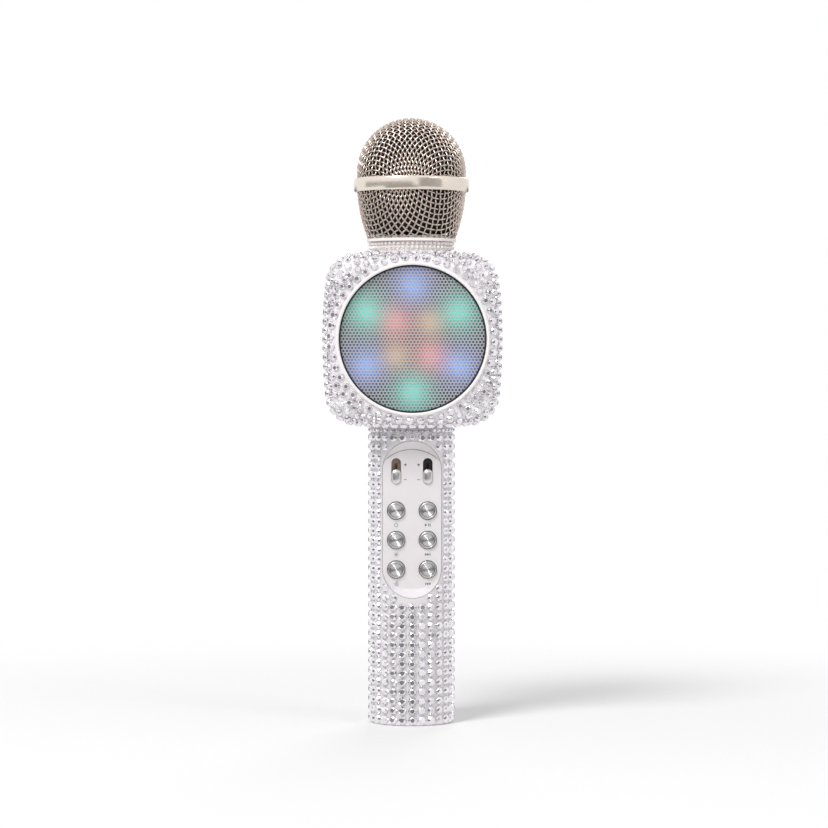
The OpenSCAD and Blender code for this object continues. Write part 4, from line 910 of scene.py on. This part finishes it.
# A lamp's wide light, its core, and how far the wide light reaches
BLUE = ((0.16, 0.17, 0.50), (0.00, 0.42, 0.66), 8.0)
GREEN = ((0.03, 0.41, 0.30), (0.12, 0.56, 0.47), 8.5)
RED = ((0.50, 0.12, 0.11), (0.30, 0.12, 0.11), 7.0)
AMBER = ((0.36, 0.21, 0.09), (0.26, 0.17, 0.08), 6.0)
# Each lamp's reach from the grille's middle, its bearing in degrees and its colour
OUTER_LAMPS = 22.4
INNER_LAMPS = 10.0
LAMPS = (
    (OUTER_LAMPS, 90, BLUE),
    (OUTER_LAMPS, 30, GREEN),
    (OUTER_LAMPS, 330, BLUE),
    (OUTER_LAMPS, 270, GREEN),
    (OUTER_LAMPS, 210, BLUE),
    (OUTER_LAMPS, 150, GREEN),
    (INNER_LAMPS, 135, RED),
    (INNER_LAMPS, 45, AMBER),
    (INNER_LAMPS, 225, AMBER),
    (INNER_LAMPS, 315, RED),
)


def lamp_glow(points, core, core_width):
    """Light of all the lamps at each point: a wide soft spot about each lamp, and a paler core."""
    x, z = points[..., 0], points[..., 2] - BOX_Z
    total = np.zeros(points.shape[:-1] + (3,))
    for reach, degrees, (tint, core_tint, width) in LAMPS:
        a = math.radians(degrees)
        d2 = (x - reach * math.cos(a)) ** 2 + (z - reach * math.sin(a)) ** 2
        wide = np.exp(-d2 / width**2)[..., None]
        spot = core * np.exp(-d2 / core_width**2)[..., None]
        total += wide * np.array(tint) + spot * np.array(core_tint)
    return np.concatenate([total, np.ones(points.shape[:-1] + (1,))], -1)


HOLE_PITCH = 1.45
HOLE_R = 0.46
SHEET_Y = (-26.4, -25.6)
SHEET_R = 31.0
CELLS = np.arange(-30, 31)
# Radius and y round the section of the grille's rim
RIM_SECTION = ((31.75, -26.4), (30.9, -26.4), (30.9, -24.6), (31.75, -24.6))
DIFFUSER_R = 31.6
DIFFUSER_Y = (-24.6, -23.8)


def perforated_grille():
    """A sheet of six-sided cells, each with a round hole, welded along their edges, and a rim behind it."""
    i, j = [g.ravel() for g in np.meshgrid(CELLS, CELLS)]
    middle = np.stack([HOLE_PITCH * (i + j / 2), HOLE_PITCH * math.sqrt(3) / 2 * j], 1)
    middle = middle[np.hypot(middle[:, 0], middle[:, 1]) < SHEET_R]
    corner_a = math.radians(30) + np.arange(6) * math.pi / 3
    hole_a = math.radians(30) + np.arange(12) * math.pi / 6
    outline = HOLE_PITCH / math.sqrt(3) * np.stack([np.cos(corner_a), np.sin(corner_a)], 1)
    hole = HOLE_R * np.stack([np.cos(hole_a), np.sin(hole_a)], 1)
    cell = np.concatenate([outline, hole])
    flat = (middle[:, None] + cell[None]).reshape(-1, 2)
    k = np.arange(6)
    n = (k + 1) % 6
    near, mid, far = 6 + 2 * k, 7 + 2 * k, 6 + 2 * n
    sheet = np.concatenate([np.stack(t, 1) for t in ((k, mid, near), (k, n, mid), (n, far, mid))])
    starts = (np.arange(len(middle)) * len(cell))[:, None, None]
    sheet = (sheet[None] + starts).reshape(-1, 3)
    sides = (np.stack([k, n], 1)[None] + starts).reshape(-1, 2)
    h = 6 + np.arange(12)
    bore = (np.stack([h, 6 + (np.arange(12) + 1) % 12], 1)[None] + starts).reshape(-1, 2)
    welded, at = np.unique(np.round(flat, 4), axis=0, return_inverse=True)
    at = at.ravel()
    sheet, sides, bore = at[sheet], at[sides], at[bore]
    _, which, uses = np.unique(np.sort(sides, 1), axis=0, return_inverse=True, return_counts=True)
    rim = sides[uses[which.ravel()] == 1]
    count = len(welded)
    points = np.concatenate([np.insert(welded, 1, y, axis=1) for y in SHEET_Y])
    points[:, 2] += BOX_Z
    faces = sheet.tolist() + (sheet[:, ::-1] + count).tolist()
    faces += np.stack([rim[:, 1], rim[:, 0], rim[:, 0] + count, rim[:, 1] + count], 1).tolist()
    faces += np.stack([bore[:, 0], bore[:, 1], bore[:, 1] + count, bore[:, 0] + count], 1).tolist()
    hoop, hoop_faces = turned_front(RIM_SECTION, 96, 0, BOX_Z)
    faces += (hoop_faces + len(points)).tolist()
    points = np.concatenate([points, hoop.reshape(-1, 3)])
    put(
        "perforated_grille", points, faces, "grille_metal", stands_for=("speaker_grille",), smooth=False,
        glow=lamp_glow(points, core=0.05, core_width=3.5),
    )


def lit_diffuser():
    """A milky disc behind the grille, turned from a fine section so that it holds the glow of each lamp."""
    r = np.linspace(AXIS_R, DIFFUSER_R, 48)
    front = np.stack([r, np.full_like(r, DIFFUSER_Y[0])], 1)
    back = np.stack([r[::-4], np.full_like(r[::-4], DIFFUSER_Y[1])], 1)
    points, faces = turned_front(np.vstack([front, back]), 120, 0, BOX_Z)
    put(
        "lit_diffuser", points, faces.tolist(), "diffuser", stands_for=("light_diffuser",), smooth=False,
        glow=lamp_glow(points, core=0.62, core_width=5.0).reshape(-1, 4),
    )


perforated_grille()
lit_diffuser()


# Buttons and slider knobs

BUTTONS = (
    ("power", -COLUMN_X, ROW_Z[2]), ("light", -COLUMN_X, ROW_Z[1]), ("echo", -COLUMN_X, ROW_Z[0]),
    ("play", COLUMN_X, ROW_Z[2]), ("next", COLUMN_X, ROW_Z[1]), ("previous", COLUMN_X, ROW_Z[0]),
)


BUTTON_FRONT = -13.015
BUTTON_AXIS_R = 0.04
DISH_R = 2.55
DISH_DEPTH = 0.2
DISH_RISE = 0.08
RING_DEPTH = 0.034
RING_PITCH = 0.355
# Radius and depth behind the front along the groove and the rim, then radius and y of the flange
BUTTON_RIM = (
    (2.6, 0.3), (2.72, 0.3), (2.8, 0.08), (2.92, 0.0), (3.12, 0.0), (3.34, 0.06), (3.52, 0.2), (3.6, 0.42),
)
BUTTON_FLANGE = ((3.6, -9.96), (4.5, -9.96), (4.5, -9.27), (BUTTON_AXIS_R, -9.27))


def spun_button(name, x0, z0):
    """A turned button: fine rings in a shallow dish, a groove, a rounded rim, a flange behind the panel."""
    r = np.linspace(BUTTON_AXIS_R, DISH_R, 60)
    rings = RING_DEPTH * np.cos(2 * math.pi * r / RING_PITCH)
    face = np.stack([r, BUTTON_FRONT + DISH_DEPTH - DISH_RISE * (r / DISH_R) ** 2 + rings], 1)
    rim = np.array(BUTTON_RIM) + [0.0, BUTTON_FRONT]
    points, faces = turned_front(np.vstack([face, rim, BUTTON_FLANGE]), 48, x0, z0)
    put(name + "_spun_button", points, faces.tolist(), "spun_metal", name + "_key", (name + "_button",))


KNOB_HALF_W = 1.95
KNOB_HALF_LEN = 3.2
KNOB_EDGE = 0.35
KNOB_RISE = 1.05
KNOB_FOOT_Y = -9.95
KNOB_SIDES = 48
KNOB_RINGS = 14


def slider_knob(name, x0):
    """A domed knob: its slot-shaped outline drawn in towards the middle while it rises to a crown."""
    a = np.arange(KNOB_SIDES) * 2 * math.pi / KNOB_SIDES
    round_end = KNOB_HALF_W * np.stack([np.cos(a), np.sin(a)], 1)
    spine = np.sign(np.sin(a)) * (KNOB_HALF_LEN - KNOB_HALF_W)
    t = np.linspace(0, math.pi / 2, KNOB_RINGS)[:, None]
    draw = np.maximum(np.cos(t), 0.01)
    x = x0 + draw * round_end[:, 0]
    z = KNOB_Z + draw * round_end[:, 1] + spine * draw**0.5
    y = FLOOR_Y - KNOB_EDGE - KNOB_RISE * np.sin(t) + 0 * x
    top = np.stack([x, y, z], -1)
    foot = np.stack([top[0, :, 0], np.full(KNOB_SIDES, KNOB_FOOT_Y), top[0, :, 2]], -1)[None]
    points = np.concatenate([foot, top])
    faces = grid_faces(len(points), KNOB_SIDES, False, True).tolist()
    base = np.arange(KNOB_SIDES)
    faces += [base[::-1].tolist(), (base + KNOB_RINGS * KNOB_SIDES).tolist()]
    put(name + "_domed_knob", points, faces, "slider_metal", name + "_fader", (name + "_slider",))


for button in BUTTONS:
    spun_button(*button)
slider_knob("voice", -COLUMN_X)
slider_knob("music", COLUMN_X)


# Printed marks on the panel

MARK_T = 0.05
MARK_DROP = 6.1
SLIDER_MARK_X = 2.8


def mark_plate(outline):
    """A thin plate on the panel's floor from an outline in (x, z)."""
    outline = np.asarray(outline, float)
    n = len(outline)
    points = np.concatenate([np.insert(outline, 1, y, axis=1) for y in (FLOOR_Y - MARK_T, FLOOR_Y + MARK_T)])
    k = np.arange(n)
    walls = np.stack([k, k + n, (k + 1) % n + n, (k + 1) % n], 1)
    return points, [k.tolist(), (k[::-1] + n).tolist()] + walls.tolist()


def bar(x, z, w, h):
    """A rectangle about (x, z)."""
    return [(x - w / 2, z - h / 2), (x + w / 2, z - h / 2), (x + w / 2, z + h / 2), (x - w / 2, z + h / 2)]


def arrow(x, z, w, h):
    """A triangle about (x, z) that points to the right."""
    return [(x - w / 2, z - h / 2), (x + w / 2, z), (x - w / 2, z + h / 2)]


def bow(x, z, r, thick, start, end):
    """Part of a ring about (x, z) between two angles in degrees."""
    a = np.radians(np.linspace(start, end, 13))
    ways = np.stack([np.cos(a), np.sin(a)], 1)
    return np.concatenate([ways * (r + thick / 2), ways[::-1] * (r - thick / 2)]) + [x, z]


def skip_sign(x, z):
    """Two arrows and a bar."""
    return [arrow(x - 0.7, z, 1.0, 1.2), arrow(x + 0.25, z, 1.0, 1.2), bar(x + 0.95, z, 0.25, 1.2)]


def panel_marks():
    """Plain signs under each button and beside each slider, all in one piece."""
    left, right = -COLUMN_X, COLUMN_X
    top, mid, low = [z - MARK_DROP for z in ROW_Z[::-1]]
    plates = [bow(left, top, 0.75, 0.2, -235, 55), bar(left, top + 0.7, 0.2, 0.8)]
    plates.append(arrow(right - 0.7, top, 1.1, 1.3))
    plates += [bar(right + 0.4, top, 0.3, 1.3), bar(right + 1.0, top, 0.3, 1.3)]
    plates.append(bow(left, mid, 0.35, 0.3, 0, 359))
    for degrees in range(0, 360, 45):
        a = math.radians(degrees)
        spin = np.array([[math.cos(a), math.sin(a)], [-math.sin(a), math.cos(a)]])
        plates.append(np.array(bar(0.95, 0, 0.4, 0.16)) @ spin + [left, mid])
    plates += skip_sign(right, mid)
    plates += [bow(left - 1.0, low, r, 0.2, -50, 50) for r in (0.6, 1.2, 1.8)]
    plates += [[(2 * right - x, z) for x, z in shape[::-1]] for shape in skip_sign(right, low)]
    for x in (-SLIDER_MARK_X, SLIDER_MARK_X):
        plates += [bar(x, SLOT_Z + 2.7, 1.1, 0.34), bar(x, SLOT_Z + 2.7, 0.34, 1.1)]
        plates.append(bar(x, SLOT_Z - 3.6, 1.1, 0.28))
    points, faces = joined([mark_plate(outline) for outline in plates])
    put("panel_marks", points, faces, "dark_plastic", smooth=False, coat=MARK_FINISH)


panel_marks()

SEAM_W = 0.45


def painted_seam_shadow():
    """Painted shadow: a fine grey line along the top edge of the panel's floor, where it meets the slope."""
    a = np.radians(np.linspace(50, 130, 41))
    ways = np.stack([np.cos(a), np.sin(a)], 1)
    middle = np.array([0.0, FLOOR_TOP - FLOOR_END_R])
    outline = np.concatenate([middle + FLOOR_END_R * ways, (middle + (FLOOR_END_R - SEAM_W) * ways)[::-1]])
    points, faces = mark_plate(outline[::-1])
    put("painted_seam_shadow", points, faces, "dark_plastic", smooth=False, coat=SEAM_SHADOW_FINISH)


painted_seam_shadow()


# Floor, light and background, in metres

FLOOR_R = 4.0
FLOOR_LEVEL = -0.0002
FLOOR_SIDES = 96
FADE_FROM = 0.05
FADE_TO = 0.42
AIM_HEIGHT = 0.13
CARD_REACH = 1.7
CARD_COLUMNS = 25


def stage_mesh(name, points, faces, material):
    """A mesh that belongs to the studio and not to the microphone."""
    mesh = bpy.data.meshes.new(name)
    mesh.from_pydata(np.asarray(points).tolist(), [], faces)
    mesh.materials.append(material)
    thing = bpy.data.objects.new(name, mesh)
    bpy.context.scene.collection.objects.link(thing)
    return thing


def stage_material(name):
    """An empty material: its node tree, its surface socket and itself."""
    material = bpy.data.materials.new(name)
    material.use_nodes = True
    tree = material.node_tree
    tree.nodes.remove(tree.nodes["Principled BSDF"])
    return tree, tree.nodes["Material Output"].inputs["Surface"], material


def seen_rays(tree):
    """1 for the rays of the camera, gloss and glass, and 0 for those that light matt surfaces."""
    rays = tree.nodes.new("ShaderNodeLightPath")
    seen = Value(tree, rays.outputs["Is Camera Ray"])
    for kind in ("Is Glossy Ray", "Is Transmission Ray"):
        seen = seen.math("MAXIMUM", seen, Value(tree, rays.outputs[kind]))
    return seen


def make_floor():
    """A round pale floor: it keeps the shadow near the microphone and fades into the white background."""
    tree, surface, material = stage_material("pale_floor")
    place = Value(tree, tree.nodes.new("ShaderNodeTexCoord").outputs["Object"])
    far = place.node("ShaderNodeVectorMath", {"operation": "LENGTH"}, {0: place}, 1)
    fade = place.node(
        "ShaderNodeMapRange", {"interpolation_type": "SMOOTHSTEP"},
        {"Value": far, "From Min": FADE_FROM, "From Max": FADE_TO},
    )
    paper = place.node("ShaderNodeBsdfDiffuse", {}, {"Color": colour(0.86, 0.86, 0.86)})
    white = place.node("ShaderNodeEmission", {}, {"Color": colour(1, 1, 1), "Strength": 1.0})
    both = place.node("ShaderNodeMixShader", {}, {0: fade * seen_rays(tree), 1: paper, 2: white})
    tree.links.new(both.socket, surface)
    a = np.arange(FLOOR_SIDES) * 2 * math.pi / FLOOR_SIDES
    rim = np.stack([FLOOR_R * np.cos(a), FLOOR_R * np.sin(a), np.full_like(a, FLOOR_LEVEL)], 1)
    floor = stage_mesh("floor", rim, [list(range(FLOOR_SIDES))], material)
    floor.visible_glossy = False


def make_world(ambient):
    """White where the camera, gloss and glass look; a softer level where it lights matt surfaces."""
    world = bpy.data.worlds.new("studio")
    bpy.context.scene.world = world
    world.use_nodes = True
    tree = world.node_tree
    back = tree.nodes["Background"]
    back.inputs["Color"].default_value = colour(1, 1, 1)
    level = ambient + (1.0 - ambient) * seen_rays(tree)
    tree.links.new(level.socket, back.inputs["Strength"])


def make_lamp(name, place, size, watts):
    """A round soft lamp aimed at the microphone's middle."""
    data = bpy.data.lights.new(name, "AREA")
    data.shape = "DISK"
    data.size = size
    data.energy = watts
    lamp = bpy.data.objects.new(name, data)
    bpy.context.scene.collection.objects.link(lamp)
    aim(lamp, place, (0, 0, AIM_HEIGHT))


def make_card(name, bearings, low, high):
    """A dark curved wall between two bearings that shows only in gloss.

    low and high are the slopes up to its lower and upper edges at each of its ends, in degrees.
    """
    tree, surface, material = stage_material(name)
    shade = {"Color": colour(0.09, 0.09, 0.095), "Strength": 1.0}
    dark = Value(tree, None).node("ShaderNodeEmission", {}, shade)
    tree.links.new(dark.socket, surface)
    a = np.radians(np.linspace(*bearings, CARD_COLUMNS))
    slopes = np.radians([np.linspace(*low, CARD_COLUMNS), np.linspace(*high, CARD_COLUMNS)])
    height = AIM_HEIGHT + CARD_REACH * np.tan(slopes)
    spots = np.broadcast_arrays(CARD_REACH * np.sin(a), -CARD_REACH * np.cos(a), height)
    points = np.stack(spots, -1).reshape(-1, 3)
    card = stage_mesh(name, points, grid_faces(2, CARD_COLUMNS).tolist(), material)
    card.visible_camera = False
    card.visible_diffuse = False
    card.visible_shadow = False
    card.visible_transmission = False


make_floor()
make_world(ambient=0.56)
make_lamp("key", (-0.75, -1.05, 1.45), size=0.7, watts=21.0)
make_lamp("fill", (1.4, -1.2, 0.7), size=0.9, watts=5.5)
make_lamp("back", (0.3, 1.5, 1.0), size=0.8, watts=6.0)
make_card("front_card", (-56.0, 13.0), low=(-18.0, -15.0), high=(-1.3, -1.3))
make_card("upper_card", (-105.0, 1.7), low=(-1.3, -1.3), high=(9.0, 9.0))
make_card("right_card", (14.0, 62.0), low=(-7.0, -7.0), high=(24.0, 24.0))
make_card("side_card", (146.0, 172.0), low=(-14.0, -14.0), high=(5.0, 5.0))
make_card("rear_card", (188.0, 214.0), low=(-14.0, -14.0), high=(5.0, 5.0))
bpy.context.scene.view_settings.view_transform = "Standard"
